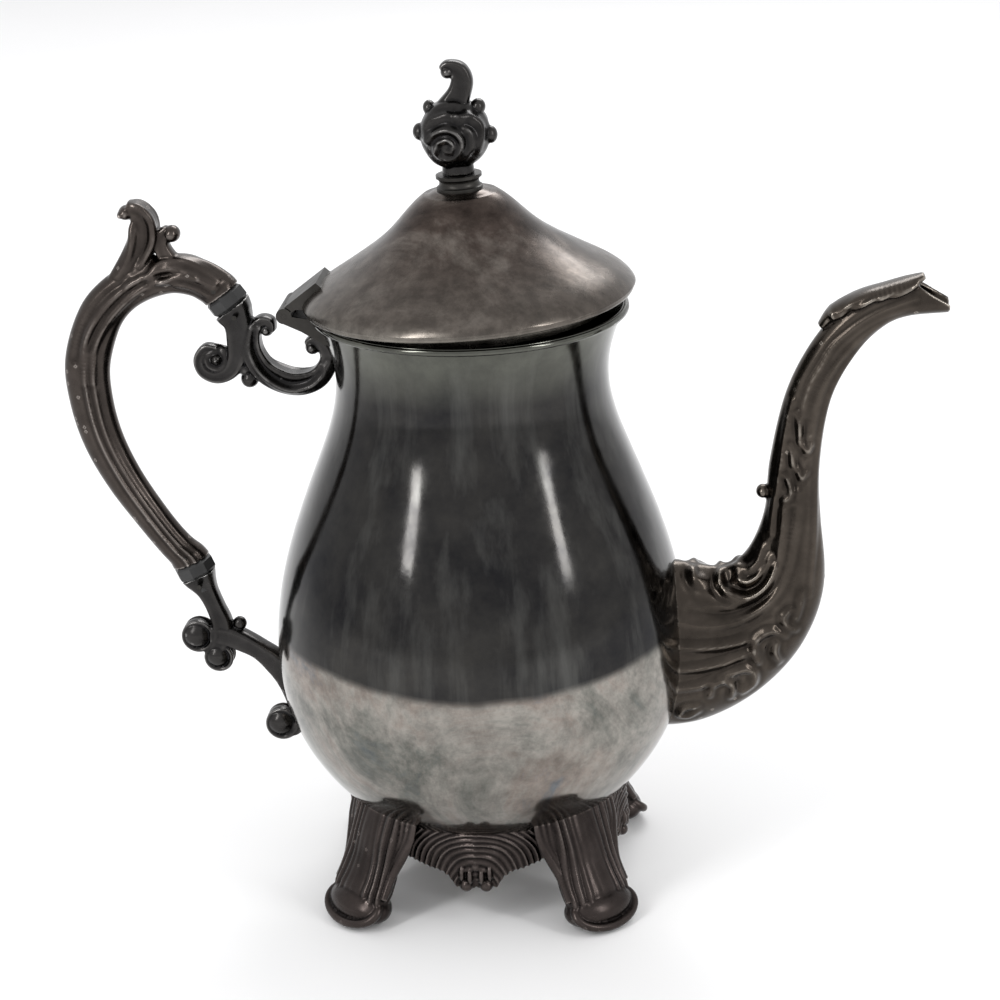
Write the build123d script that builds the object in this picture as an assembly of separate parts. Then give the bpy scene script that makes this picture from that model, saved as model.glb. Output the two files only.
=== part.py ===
from build123d import *
import math
import os

os.makedirs("parts", exist_ok=True)

# Footed pear-shaped pot with a hinged lid, in millimetres. Every piece is drawn about the upright
# axis of the body, with the table at zero height, and moved sideways at the end so that the origin
# lies under the middle of the whole length. The spout points to +X and the handle to -X.

# Reach of the spout tip and of the handle from the body's axis
SPOUT_REACH = 154.4
HANDLE_REACH = 135.5

# Turned body
BODY_WALL = 1.0
BASE_Z = 24.0
BASE_R = 27.0
LOWER_Z = 45.0
LOWER_R = 55.6
FLANK_Z = 64.0
FLANK_R = 65.6
BELLY_Z = 87.0
BELLY_R = 68.9
SHOULDER_Z = 120.0
SHOULDER_R = 63.6
WAIST_Z = 150.0
WAIST_R = 52.6
NECK_Z = 181.0
NECK_R = 44.7
MOUTH_Z = 202.5
MOUTH_R = 51.0
MOUTH_WIRE_R = 1.1
POUR_HOLE_R = 13.0
SOLDER_GAP = 0.05

# Lid, drawn closed and then lifted by the small angle at which it stands ajar
LID_WALL = 0.9
LID_R = 53.4
LID_SEAT_GAP = 0.3
LID_EDGE_H = 1.4
LID_HEIGHT = 35.6
LID_TOP_R = 8.0
BEZEL_R = 45.4
BEZEL_DEPTH = 4.6
BEZEL_WALL = 0.9
LID_AJAR_DEG = 2.6

# Hinge
HINGE_X = -59.5
HINGE_Z = 201.8
KNUCKLE_R = 2.6
HINGE_PIN_R = 0.9
HINGE_PIN_PLAY = 0.05
HINGE_WIDTH = 20.0
LID_KNUCKLE_LENGTH = 8.0
KNUCKLE_GAP = 0.15
LEAF_SWEEP_GAP = 0.35
LEAF_THICKNESS = 1.8

# Finial and its fixing
STUD_R = 2.0
STUD_PLAY = 0.05
STUD_HOLE_PLAY = 0.3
STUD_END = 0.8
NUT_R = 4.2
NUT_H = 3.0
WASHER_R = 6.5
WASHER_H = 0.8
COLLAR_R = 7.4
COLLAR_H = 5.0
KNOB_R = 11.6
KNOB_Z = 256.5
KNOB_NECK_R = 5.2

# Handle, its heat breaks and their cross pins
TENON_R = 3.6
TENON_LENGTH = 5.5
TENON_PLAY = 0.05
HANDLE_PIN_R = 0.8
BREAK_LENGTH = 5.4
BREAK_R = 6.9
BREAK_BEVEL = 1.0
UPPER_BREAK = (-79.7, 204.7, -55.0)
LOWER_BREAK = (-97.0, 111.0, -67.5)

# Spout
SPOUT_ROOT_Z = 84.5
SPOUT_TIP_Z = 204.4
SPOUT_MOUTH_BACK = 4.9
SPOUT_MOUTH_RISE = 4.1
SPOUT_WALL = 1.5
SPOUT_FLUTE = 0.8

# Foot mount: four aprons between four scrolled feet
APRON_R = 46.0
APRON_BELLY = 2.0
APRON_TOP_Z = 38.0
APRON_BOTTOM_Z = 15.0
APRON_WALL = 2.2
APRON_HALF_DEG = 31.5
SCOOP_R = 8.0
SCOOP_SPREAD = 15.0
SCOOP_TOP_Z = 21.0
BEAD_R = 2.2
BEAD_SPREAD = 3.3
FOOT_ANGLE_DEG = 45.0
TOE_RADIAL = 56.5
TOE_HALF_WIDTH = 13.6
TOE_HALF_DEPTH = 8.4
TOE_R = 6.6
TOE_Z = 6.0

AXIS_X = (HANDLE_REACH - SPOUT_REACH) / 2
LID_SEAT_Z = MOUTH_Z + LID_SEAT_GAP
LID_TOP_Z = LID_SEAT_Z + LID_HEIGHT
SECTION_POINTS = 24


def smooth(values, place):
    """A value at a place counted in steps along a row of values, on a smooth curve through them."""
    last = len(values) - 1
    i = min(int(place), last - 1)
    t = place - i
    a = values[max(i - 1, 0)]
    b = values[i]
    c = values[i + 1]
    d = values[min(i + 2, last)]
    bend = 2 * a - 5 * b + 4 * c - d
    twist = 3 * b - a - 3 * c + d
    return b + 0.5 * ((c - a) * t + bend * t * t + twist * t**3)


def refined(stations, steps=3):
    """The stations with more of them between, on smooth curves through each of their numbers."""
    columns = list(zip(*stations))
    count = (len(stations) - 1) * steps
    return [[smooth(column, i / steps) for column in columns] for i in range(count + 1)]


def skin(rows):
    """A solid wrapped round closed rows of points, with a flat cap on each end row."""
    side = Face.make_surface_from_array_of_points(rows, min_deg=3, max_deg=3)
    caps = [Face(Wire([edge])) for edge in side.edges() if edge.is_closed]
    return Solid(Shell([side] + caps))


def section_row(x, z, angle, depth, width, flute, ribs):
    """Points of an oval across a limb that runs in the middle plane at an angle above the level."""
    a = math.radians(angle)
    row = []
    for i in range(SECTION_POINTS + 1):
        turn = 2 * math.pi * (i % SECTION_POINTS) / SECTION_POINTS
        ridge = 1 - ribs + ribs * math.cos(8 * turn)
        u = depth * ridge * math.cos(turn)
        v = (width * ridge - flute * math.sin(turn) ** 8) * math.sin(turn)
        row.append(Vector(x - u * math.sin(a), v, z + u * math.cos(a)))
    return row


def limb(stations, flute=0.0, ribs=0.0):
    """A limb through stations of x, z, angle, half depth and half width."""
    return skin([section_row(*station, flute, ribs) for station in refined(stations)])


def arm(stations, steps=4):
    """A curved arm through stations of x, z, half depth and half width, square to its own line."""
    spots = refined(stations, steps)
    rows = []
    for i, (x, z, depth, width) in enumerate(spots):
        before = spots[max(i - 1, 0)]
        after = spots[min(i + 1, len(spots) - 1)]
        angle = math.degrees(math.atan2(after[1] - before[1], after[0] - before[0]))
        rows.append(section_row(x, z, angle, depth, width, 0, 0))
    return skin(rows)


def ball(x, z, radius, y=0.0):
    return Pos(x, y, z) * Sphere(radius)


def button(x, z, radius, width):
    """A round scroll eye seen from the side, domed at both ends."""
    eye = scale(Sphere(radius), by=(1, width / radius, 1))
    return Pos(x, 0, z) * eye


def offset_line(curve, offset, steps=16):
    """A line beside a curve of the upright plane, at an offset to its outer side."""
    points = []
    for i in range(steps + 1):
        way = curve % (i / steps)
        points.append(curve @ (i / steps) + Vector(way.Z, 0, -way.X) * offset)
    return Spline(*points)


def turned_below(side, top):
    """A solid turned from a side line, filled to the axis from its low end up to a top height."""
    low = side @ 0
    high = side @ 1
    crown = Vector(high.X, 0, top)
    edges = [
        side,
        Line(high, crown),
        Line(crown, Vector(0, 0, top)),
        Line(Vector(0, 0, top), Vector(0, 0, low.Z)),
        Line(Vector(0, 0, low.Z), low),
    ]
    return revolve(make_face(Wire(edges)), axis=Axis.Z)


def body_curve():
    """The outer line of the body, from the edge of its flat base to the mouth."""
    stations = [
        (BASE_R, BASE_Z),
        (LOWER_R, LOWER_Z),
        (FLANK_R, FLANK_Z),
        (BELLY_R, BELLY_Z),
        (SHOULDER_R, SHOULDER_Z),
        (WAIST_R, WAIST_Z),
        (NECK_R, NECK_Z),
        (MOUTH_R, MOUTH_Z),
    ]
    points = [Vector(x, 0, z) for x, z in stations]
    return Spline(*points, tangents=[(1, 0, 0.25), (0.55, 0, 1)])


def body_envelope(offset):
    """The whole body as a solid, grown or shrunk by an offset from its outer line."""
    return turned_below(offset_line(body_curve(), offset), MOUTH_Z + 4)


def below(height):
    return Pos(0, 0, height - 200) * Box(600, 600, 400)


def above(height):
    return Pos(0, 0, height + 200) * Box(600, 600, 400)


def make_body():
    shell = (body_envelope(0) - body_envelope(-BODY_WALL)) & below(MOUTH_Z)
    pour_hole = Pos(BELLY_R, 0, SPOUT_ROOT_Z) * Rot(0, 90, 0) * Cylinder(POUR_HOLE_R, BELLY_R / 2)
    return shell - pour_hole


def make_mouth_wire():
    """A half-round wire that stiffens the mouth, soldered round its outside."""
    wire = Pos(0, 0, MOUTH_Z - MOUTH_WIRE_R) * Torus(MOUTH_R - 0.3, MOUTH_WIRE_R)
    return wire - body_envelope(SOLDER_GAP)


def spout_stations():
    """Spout stations: x, z, angle, half depth in the middle plane, half width across it."""
    return [
        (50.0, SPOUT_ROOT_Z - 0.3, 0, 29.5, 16.5),
        (66.0, SPOUT_ROOT_Z, 2, 29.2, 16.5),
        (76.0, 86.0, 8, 27.0, 15.6),
        (86.5, 90.6, 22, 22.9, 13.8),
        (96.0, 99.2, 42, 18.3, 11.6),
        (102.2, 112.0, 64, 14.0, 9.6),
        (104.2, 130.0, 84, 9.4, 8.0),
        (105.0, 149.0, 86, 8.2, 7.1),
        (109.6, 172.0, 72, 7.3, 6.6),
        (118.6, 189.2, 54, 6.9, 6.4),
        (128.5, 199.0, 34, 6.3, 6.4),
        (139.0, 203.6, 12, 5.8, 6.6),
        (SPOUT_REACH, SPOUT_TIP_Z, -8, 5.2, 6.2),
    ]


def make_spout():
    """The hollow spout, with its hood leaf, scrolls and beads cast in one with it."""
    hood = arm([
        (113.2, 194.6, 1.4, 2.6),
        (117.5, 199.6, 2.2, 5.4),
        (126.0, 203.8, 2.5, 7.0),
        (134.0, 206.3, 2.5, 7.3),
        (141.0, 208.8, 2.1, 6.4),
        (146.0, 211.2, 1.0, 2.6),
    ])
    spout = limb(spout_stations(), flute=SPOUT_FLUTE) + hood
    spout += ball(94.6, 138.4, 2.3) + ball(112.8, 108.6, 2.3)
    for side in (-1, 1):
        spout += Pos(0, side * 9.6, 0) * arm([
            (72.0, 108.5, 1.4, 2.6),
            (79.0, 111.0, 2.0, 3.2),
            (86.5, 108.5, 2.2, 3.2),
            (88.0, 102.0, 2.0, 3.0),
            (83.0, 99.8, 1.6, 2.4),
            (80.4, 102.8, 1.2, 2.0),
        ])
    bore = [
        (x, z, angle, depth - SPOUT_WALL, width - SPOUT_WALL - SPOUT_FLUTE)
        for x, z, angle, depth, width in spout_stations()
    ]
    spout -= limb(bore)
    spout -= body_envelope(SOLDER_GAP)
    mouth = Vector(SPOUT_REACH - SPOUT_MOUTH_BACK, 0, SPOUT_TIP_Z + SPOUT_MOUTH_RISE)
    mouth_plane = Plane(origin=mouth, x_dir=(0, 1, 0), z_dir=(0.66, 0, 0.75))
    spout -= mouth_plane * Pos(0, 0, 15) * Box(60, 60, 30)
    return max(spout.solids(), key=lambda solid: solid.volume)


def break_plane(place, along=0.0):
    """A plane square to a heat break's axis, at a distance along it from its middle."""
    x, z, angle = place
    a = math.radians(angle)
    way = Vector(math.cos(a), 0, math.sin(a))
    return Plane(origin=Vector(x, 0, z) + way * along, x_dir=(0, 1, 0), z_dir=way)


def tenons(place, play=0.0):
    reach = BREAK_LENGTH + 2 * TENON_LENGTH + 2 * play
    return break_plane(place) * Cylinder(TENON_R + play, reach)


def pins(place, play=0.0):
    """The two cross pins that hold a heat break in its sockets."""
    away = (BREAK_LENGTH + TENON_LENGTH) / 2
    length = 2 * BREAK_R - 1.6
    rods = []
    for along in (-away, away):
        rods.append(break_plane(place, along) * Rot(0, 90, 0) * Cylinder(HANDLE_PIN_R + play, length))
    return rods


def make_break(place):
    """An eight-sided black heat break with a bevelled edge and a tenon on each end."""
    half = BREAK_LENGTH / 2
    core = extrude(RegularPolygon(BREAK_R, 8), amount=half - BREAK_BEVEL, both=True)
    cone = extrude(RegularPolygon(BREAK_R, 8), amount=BREAK_BEVEL, taper=42)
    top = Pos(0, 0, half - BREAK_BEVEL) * cone
    bottom = Rot(180, 0, 0) * Pos(0, 0, half - BREAK_BEVEL) * cone
    collar = break_plane(place) * (core + top + bottom)
    piece = collar + tenons(place)
    for rod in pins(place, TENON_PLAY):
        piece -= rod
    return piece


def sockets(piece, *places):
    """The piece with a blind socket and cross-pin holes for each heat break at its ends."""
    for place in places:
        piece -= tenons(place, TENON_PLAY)
        for rod in pins(place, TENON_PLAY):
            piece -= rod
    return piece


def beyond(place, way):
    """A block beyond one face of a heat break, on the handle side (-1) or the body side (1)."""
    along = way * (10 - BREAK_LENGTH / 2)
    return break_plane(place, along) * Box(30, 30, 20)


def make_grip():
    """The cast grip: a fluted bow with a thumb scroll, a small second curl and a leaf below them."""
    bow = limb([
        (-80.4, 205.7, 125, 6.6, 6.4),
        (-83.2, 209.0, 135, 6.6, 6.2),
        (-89.0, 212.4, 156, 6.5, 5.8),
        (-97.5, 213.8, 176, 6.6, 5.6),
        (-107.5, 211.6, 204, 6.8, 5.5),
        (-116.4, 206.4, 224, 7.0, 5.4),
        (-123.0, 198.2, 240, 7.4, 5.4),
        (-127.9, 184.0, 262, 7.6, 5.4),
        (-127.8, 170.7, 275, 7.3, 5.3),
        (-124.8, 156.7, 286, 6.9, 5.2),
        (-118.5, 142.5, 299, 6.3, 5.1),
        (-109.5, 128.1, 303, 5.7, 5.2),
        (-103.3, 119.6, 300, 5.7, 5.4),
        (-99.4, 115.6, 294, 6.3, 6.1),
        (-97.3, 111.8, 292.5, 6.8, 6.5),
    ], ribs=0.045)
    thumb = arm([
        (-114.5, 210.0, 5.0, 4.6),
        (-109.0, 219.0, 4.9, 4.4),
        (-105.9, 226.0, 4.7, 4.3),
        (-105.4, 231.4, 4.2, 4.2),
        (-107.2, 235.0, 3.1, 4.1),
        (-110.6, 236.2, 2.2, 3.8),
    ])
    curl = arm([
        (-90.0, 211.0, 3.2, 3.6),
        (-96.6, 217.0, 3.1, 3.6),
        (-99.7, 222.4, 2.6, 3.4),
        (-99.4, 226.8, 2.1, 3.2),
        (-97.4, 228.6, 1.6, 3.0),
    ])
    leaf = arm([
        (-99.5, 217.5, 2.4, 3.2),
        (-92.0, 216.0, 3.6, 4.4),
        (-84.0, 211.8, 3.8, 5.4),
        (-78.5, 206.5, 3.6, 5.8),
    ])
    grip = bow + thumb + curl + leaf
    grip += button(-111.2, 234.2, 2.7, 4.1)
    grip += button(-96.5, 227.0, 2.7, 3.6)
    for place in (UPPER_BREAK, LOWER_BREAK):
        grip -= beyond(place, 1)
    return sockets(grip, UPPER_BREAK, LOWER_BREAK)


def make_upper_bracket():
    """The upper handle bracket: a stem that winds into a volute, and a double C-scroll to the neck."""
    stem = arm([
        (-79.2, 204.0, 6.5, 6.3),
        (-77.6, 200.6, 6.0, 5.9),
        (-76.4, 196.5, 4.7, 4.8),
        (-76.6, 191.0, 4.0, 4.2),
        (-77.4, 185.5, 3.4, 4.0),
        (-80.0, 180.9, 2.8, 3.8),
        (-84.6, 178.9, 2.3, 3.6),
        (-89.0, 180.7, 2.0, 3.4),
        (-90.3, 184.9, 1.8, 3.2),
        (-87.8, 188.4, 1.6, 3.0),
        (-84.0, 188.0, 1.4, 2.8),
    ])
    scroll = arm([
        (-65.4, 194.4, 1.4, 3.4),
        (-65.8, 197.4, 1.6, 3.6),
        (-69.2, 197.6, 1.9, 3.9),
        (-72.0, 193.0, 2.8, 4.2),
        (-72.2, 187.0, 3.6, 4.4),
        (-69.0, 181.2, 3.9, 4.6),
        (-63.0, 177.4, 4.0, 4.8),
        (-56.5, 176.4, 3.9, 4.8),
        (-50.6, 178.6, 3.5, 4.6),
        (-47.4, 183.5, 3.0, 4.2),
        (-48.0, 188.6, 2.3, 3.8),
        (-51.4, 191.4, 1.7, 3.5),
        (-54.0, 189.8, 1.4, 3.3),
    ])
    bracket = stem + scroll
    bracket += button(-84.9, 184.4, 3.0, 3.8)
    bracket += button(-66.6, 194.6, 2.4, 3.7)
    bracket += button(-52.4, 189.0, 2.5, 3.6)
    bracket += button(-73.8, 177.9, 3.0, 3.6)
    bracket -= beyond(UPPER_BREAK, -1)
    bracket -= body_envelope(SOLDER_GAP)
    return sockets(bracket, UPPER_BREAK)


def make_lower_bracket():
    """The lower handle bracket: a stem between two balls, an arm to the belly and a tail ball."""
    stem = arm([
        (-96.8, 110.5, 6.7, 6.5),
        (-95.4, 107.2, 5.4, 5.3),
        (-93.2, 102.5, 3.3, 4.0),
        (-90.8, 96.5, 3.1, 3.8),
        (-89.0, 90.5, 3.5, 4.0),
        (-89.8, 84.5, 3.2, 4.0),
        (-92.5, 80.5, 2.6, 3.6),
    ])
    reach = arm([
        (-93.0, 87.0, 3.4, 3.8),
        (-87.5, 86.5, 3.8, 4.2),
        (-82.0, 84.2, 3.6, 4.2),
        (-76.5, 81.0, 3.3, 4.3),
        (-71.0, 76.0, 4.0, 4.5),
        (-68.0, 69.5, 2.9, 4.4),
        (-65.8, 62.5, 2.4, 4.2),
        (-63.8, 55.8, 2.4, 3.8),
        (-65.9, 51.6, 2.0, 3.4),
        (-69.3, 51.4, 1.7, 3.2),
    ])
    bracket = stem + reach
    bracket += button(-97.9, 86.9, 5.1, 5.0)
    bracket += button(-91.2, 79.2, 4.5, 4.6)
    bracket += ball(-83.0, 90.6, 2.4)
    bracket += button(-70.7, 54.6, 5.2, 5.0)
    bracket -= beyond(LOWER_BREAK, -1)
    bracket -= body_envelope(SOLDER_GAP)
    return sockets(bracket, LOWER_BREAK)


def lid_curve():
    """The outer line of the closed lid, from its lower edge in to the flat that carries the finial."""
    rises = [(LID_R, LID_EDGE_H), (51.2, 4.1), (44.5, 8.7), (33.0, 15.7), (24.0, 22.2), (17.0, 29.2)]
    points = [Vector(radius, 0, LID_SEAT_Z + rise) for radius, rise in rises]
    points.append(Vector(LID_TOP_R, 0, LID_TOP_Z))
    return Spline(*points, tangents=[(-0.5, 0, 1), (-1, 0, 0.35)])


def lid_envelope(offset):
    """The whole closed lid as a solid, grown or shrunk by an offset from its outer line."""
    side = offset_line(lid_curve(), offset)
    low = side @ 0
    high = side @ 1
    foot = Vector(low.X, 0, LID_SEAT_Z - 5)
    crown = Vector(0, 0, high.Z)
    edges = [
        side,
        Line(high, crown),
        Line(crown, Vector(0, 0, foot.Z)),
        Line(Vector(0, 0, foot.Z), foot),
        Line(foot, low),
    ]
    return revolve(make_face(Wire(edges)), axis=Axis.Z)


def make_lid_shell():
    shell = (lid_envelope(0) - lid_envelope(-LID_WALL)) & above(LID_SEAT_Z)
    return shell - Pos(0, 0, LID_TOP_Z) * Cylinder(STUD_R + STUD_HOLE_PLAY, 6)


def make_lid_bezel():
    """The ring inside the lid that drops into the mouth and keeps the closed lid in line."""
    top = LID_TOP_Z
    height = top - LID_SEAT_Z + BEZEL_DEPTH
    middle = Pos(0, 0, top - height / 2)
    ring = middle * Cylinder(BEZEL_R, height) - middle * Cylinder(BEZEL_R - BEZEL_WALL, height)
    return ring & lid_envelope(-LID_WALL - SOLDER_GAP)


def make_collar():
    """The turned collar between the lid and the finial, with a waist between two rims."""
    half = COLLAR_H / 2
    waist = Torus(COLLAR_R + 0.6, 1.6)
    ring = Cylinder(COLLAR_R, COLLAR_H) - waist
    ring = ring - Cylinder(STUD_R + STUD_PLAY, COLLAR_H + 1)
    return Pos(0, 0, LID_TOP_Z + half) * ring


def make_finial():
    """The cast finial: a ball with scroll crescents and a curled horn, on a neck with a stud."""
    seat = LID_TOP_Z + COLLAR_H
    neck_h = KNOB_Z - KNOB_R - seat + 2.5
    stud_low = LID_TOP_Z - LID_WALL - WASHER_H - NUT_H - STUD_END
    stud_h = seat - stud_low + 1
    finial = Pos(0, 0, KNOB_Z) * Sphere(KNOB_R)
    finial += Pos(0, 0, seat + neck_h / 2) * Cylinder(KNOB_NECK_R, neck_h)
    finial += Pos(0, 0, stud_low + stud_h / 2) * Cylinder(STUD_R, stud_h)
    finial += arm([
        (0.0, 259.0, 6.5, 6.0),
        (2.9, 265.3, 5.0, 4.6),
        (3.6, 270.3, 3.9, 3.8),
        (4.0, 274.6, 2.9, 3.4),
        (2.2, 277.9, 2.1, 3.2),
        (-0.6, 277.9, 1.7, 3.0),
    ])
    finial += button(-0.6, 276.0, 2.4, 3.2)
    finial += ball(-12.0, 257.4, 1.9) + ball(12.2, 254.8, 1.7) + ball(8.3, 266.0, 2.0)
    for side in (-1, 1):
        finial += Pos(0, side * 8.6, 0) * arm([
            (-7.6, 260.0, 1.6, 2.6),
            (-3.0, 264.0, 1.8, 2.9),
            (3.6, 262.8, 1.9, 3.1),
            (6.6, 257.6, 1.9, 3.1),
            (4.6, 252.0, 1.8, 3.0),
            (-0.8, 250.2, 1.6, 3.0),
            (-4.6, 253.4, 1.4, 3.0),
            (-3.4, 257.4, 1.2, 3.0),
        ])
        finial += Pos(0, side * 8.9, 0) * button(0.6, 256.6, 2.6, 4.0)
    return finial


def make_washer():
    ring = Cylinder(WASHER_R, WASHER_H) - Cylinder(STUD_R + STUD_PLAY, WASHER_H + 1)
    return Pos(0, 0, LID_TOP_Z - LID_WALL - WASHER_H / 2) * ring


def make_nut():
    nut = extrude(RegularPolygon(NUT_R, 6), amount=NUT_H)
    nut -= Cylinder(STUD_R + STUD_PLAY, 4 * NUT_H)
    return Pos(0, 0, LID_TOP_Z - LID_WALL - WASHER_H - NUT_H) * nut


def knuckle(length, middle=0.0, radius=KNUCKLE_R):
    return Pos(HINGE_X, middle, HINGE_Z) * Rot(90, 0, 0) * Cylinder(radius, length)


def plate(corners, width):
    """A plate with its corners in the middle plane, as wide as given across it."""
    face = make_face(Polyline(*[Vector(x, 0, z) for x, z in corners], close=True))
    return extrude(face, amount=width / 2, both=True)


def make_body_leaf():
    """The fixed half of the hinge: a plate soldered to the mouth, with two knuckles."""
    inner = LID_KNUCKLE_LENGTH / 2 + KNUCKLE_GAP
    length = HINGE_WIDTH / 2 - inner
    leaf = plate([
        (HINGE_X - 0.6, HINGE_Z - 2.4),
        (HINGE_X + 1.2, HINGE_Z),
        (MOUTH_R * -1 + 4, MOUTH_Z - 2.4),
        (-40.0, 196.0),
        (-40.0, 190.5),
        (-47.0, 192.3),
        (-54.0, 196.6),
    ], HINGE_WIDTH)
    leaf -= knuckle(LID_KNUCKLE_LENGTH + 2 * KNUCKLE_GAP, 0, KNUCKLE_R + LEAF_SWEEP_GAP)
    for side in (-1, 1):
        leaf += knuckle(length, side * (inner + length / 2))
    leaf -= knuckle(HINGE_WIDTH + 1, 0, HINGE_PIN_R + HINGE_PIN_PLAY)
    leaf -= body_envelope(SOLDER_GAP)
    leaf -= Pos(0, 0, MOUTH_Z - MOUTH_WIRE_R) * Torus(MOUTH_R - 0.3, MOUTH_WIRE_R + SOLDER_GAP)
    leaf &= below(MOUTH_Z) + knuckle(HINGE_WIDTH)
    return max(leaf.solids(), key=lambda solid: solid.volume)


def make_lid_leaf():
    """The moving half of the hinge: a plate on the lid's slope, with the middle knuckle."""
    side_clear = HINGE_WIDTH - LID_KNUCKLE_LENGTH
    leaf = plate([
        (HINGE_X - 2.2, HINGE_Z + 1.2),
        (-48.0, 212.4),
        (-46.6, 211.0),
        (-40.0, 209.0),
        (-46.0, LID_SEAT_Z + 1.0),
        (HINGE_X + 4.0, LID_SEAT_Z + 1.0),
        (HINGE_X + 1.0, HINGE_Z),
    ], HINGE_WIDTH)
    for side in (-1, 1):
        middle = side * (LID_KNUCKLE_LENGTH / 2 + side_clear / 4)
        leaf -= knuckle(side_clear / 2 + 0.02, middle, KNUCKLE_R + LEAF_SWEEP_GAP)
    leaf += knuckle(LID_KNUCKLE_LENGTH)
    leaf -= knuckle(HINGE_WIDTH + 1, 0, HINGE_PIN_R + HINGE_PIN_PLAY)
    leaf -= lid_envelope(SOLDER_GAP)
    return max(leaf.solids(), key=lambda solid: solid.volume)


def make_leg():
    """One scrolled foot drawn outward along +X, before it is trimmed."""
    shin = limb([
        (41.0, 42.0, -70, 3.6, 12.0),
        (45.0, 36.0, -74, 4.2, 11.8),
        (48.4, 28.0, -78, 4.4, 12.2),
        (50.4, 21.0, -72, 4.6, 12.8),
        (53.2, 14.5, -58, 5.0, 13.0),
        (56.0, 10.0, -50, 5.2, 12.6),
        (58.0, 7.2, -45, 4.4, 11.6),
    ])
    toe = scale(Sphere(1), by=(TOE_HALF_DEPTH, TOE_HALF_WIDTH, TOE_R))
    return shin + Pos(TOE_RADIAL, 0, TOE_Z) * toe


def make_foot(angle):
    """A foot with its top fitted under the body, its sides to the aprons and its toe to the table."""
    foot = (make_leg() & above(0)) - body_envelope(SOLDER_GAP)
    side_deg = FOOT_ANGLE_DEG - APRON_HALF_DEG
    for side in (-1, 1):
        beside = Pos(0, side * (100 - SOLDER_GAP), APRON_BOTTOM_Z + 99) * Box(200, 200, 200)
        foot -= Rot(0, 0, side * side_deg) * beside
    return Rot(0, 0, angle) * foot


def make_apron(angle):
    """A curved apron with scooped sides and two beads at its middle, fitted under the body."""
    inner = APRON_R - APRON_WALL
    middle_z = (APRON_BOTTOM_Z + APRON_TOP_Z) / 2
    outside = ThreePointArc(
        Vector(APRON_R, 0, APRON_BOTTOM_Z),
        Vector(APRON_R + APRON_BELLY, 0, middle_z),
        Vector(APRON_R, 0, APRON_TOP_Z),
    )
    edges = [
        outside,
        Line(Vector(APRON_R, 0, APRON_TOP_Z), Vector(inner, 0, APRON_TOP_Z)),
        Line(Vector(inner, 0, APRON_TOP_Z), Vector(inner, 0, APRON_BOTTOM_Z)),
        Line(Vector(inner, 0, APRON_BOTTOM_Z), Vector(APRON_R, 0, APRON_BOTTOM_Z)),
    ]
    ring = revolve(make_face(Wire(edges)), axis=Axis.Z, revolution_arc=2 * APRON_HALF_DEG)
    apron = Rot(0, 0, -APRON_HALF_DEG) * ring
    reach = Rot(0, 90, 0) * Cylinder(SCOOP_R, 20)
    for side in (-1, 1):
        apron -= Pos(APRON_R, side * SCOOP_SPREAD, SCOOP_TOP_Z - SCOOP_R) * reach
        apron += ball(APRON_R, APRON_BOTTOM_Z + 1, BEAD_R, side * BEAD_SPREAD)
    apron -= body_envelope(SOLDER_GAP)
    return Rot(0, 0, angle) * apron


def lifted(piece):
    """A piece of the lid, turned about the hinge from closed to the angle at which it rests."""
    hinge = Pos(HINGE_X, 0, HINGE_Z)
    return hinge * Rot(0, -LID_AJAR_DEG, 0) * Pos(-HINGE_X, 0, -HINGE_Z) * piece


def save(name, piece):
    export_step(Pos(AXIS_X, 0, 0) * piece, f"parts/{name}.step")


def main():
    save("body_shell", make_body())
    save("mouth_wire", make_mouth_wire())
    save("spout", make_spout())
    save("handle_grip", make_grip())
    save("upper_heat_break", make_break(UPPER_BREAK))
    save("lower_heat_break", make_break(LOWER_BREAK))
    save("upper_bracket", make_upper_bracket())
    save("lower_bracket", make_lower_bracket())
    save("handle_pins", Compound(pins(UPPER_BREAK) + pins(LOWER_BREAK)))
    save("hinge_body_leaf", make_body_leaf())
    save("hinge_pin", knuckle(HINGE_WIDTH, 0, HINGE_PIN_R))
    save("hinge_lid_leaf", lifted(make_lid_leaf()))
    save("lid_shell", lifted(make_lid_shell()))
    save("lid_bezel", lifted(make_lid_bezel()))
    save("finial_collar", lifted(make_collar()))
    save("finial", lifted(make_finial()))
    save("finial_washer", lifted(make_washer()))
    save("finial_nut", lifted(make_nut()))
    for name, angle in [("right", 0), ("back", 90), ("left", 180), ("front", 270)]:
        save(f"apron_{name}", make_apron(angle))
    for name, turn in [("back_right", 1), ("back_left", 3), ("front_left", 5), ("front_right", 7)]:
        save(f"foot_{name}", make_foot(turn * FOOT_ANGLE_DEG))


main()
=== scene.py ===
import math

import bpy
import numpy as np
from mathutils import Matrix, Vector


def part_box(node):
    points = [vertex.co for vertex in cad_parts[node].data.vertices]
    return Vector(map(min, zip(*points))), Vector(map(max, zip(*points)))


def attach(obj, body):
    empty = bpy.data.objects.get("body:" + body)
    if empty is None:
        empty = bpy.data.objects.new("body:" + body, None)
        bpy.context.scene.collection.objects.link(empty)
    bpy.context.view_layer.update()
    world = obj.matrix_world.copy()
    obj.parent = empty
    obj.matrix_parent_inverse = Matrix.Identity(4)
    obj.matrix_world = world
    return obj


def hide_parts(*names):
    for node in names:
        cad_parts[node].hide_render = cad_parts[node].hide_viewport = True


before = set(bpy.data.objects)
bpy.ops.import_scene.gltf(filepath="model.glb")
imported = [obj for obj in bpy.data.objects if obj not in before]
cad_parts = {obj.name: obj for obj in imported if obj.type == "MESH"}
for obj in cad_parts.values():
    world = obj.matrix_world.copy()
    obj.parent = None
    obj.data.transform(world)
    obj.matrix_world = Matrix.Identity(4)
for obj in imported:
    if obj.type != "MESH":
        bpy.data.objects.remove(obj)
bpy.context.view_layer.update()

# Everything below is drawn in millimetres about the body's upright axis, as the solids are, and
# written to the meshes in metres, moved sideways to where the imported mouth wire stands.
MM = 0.001
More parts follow.
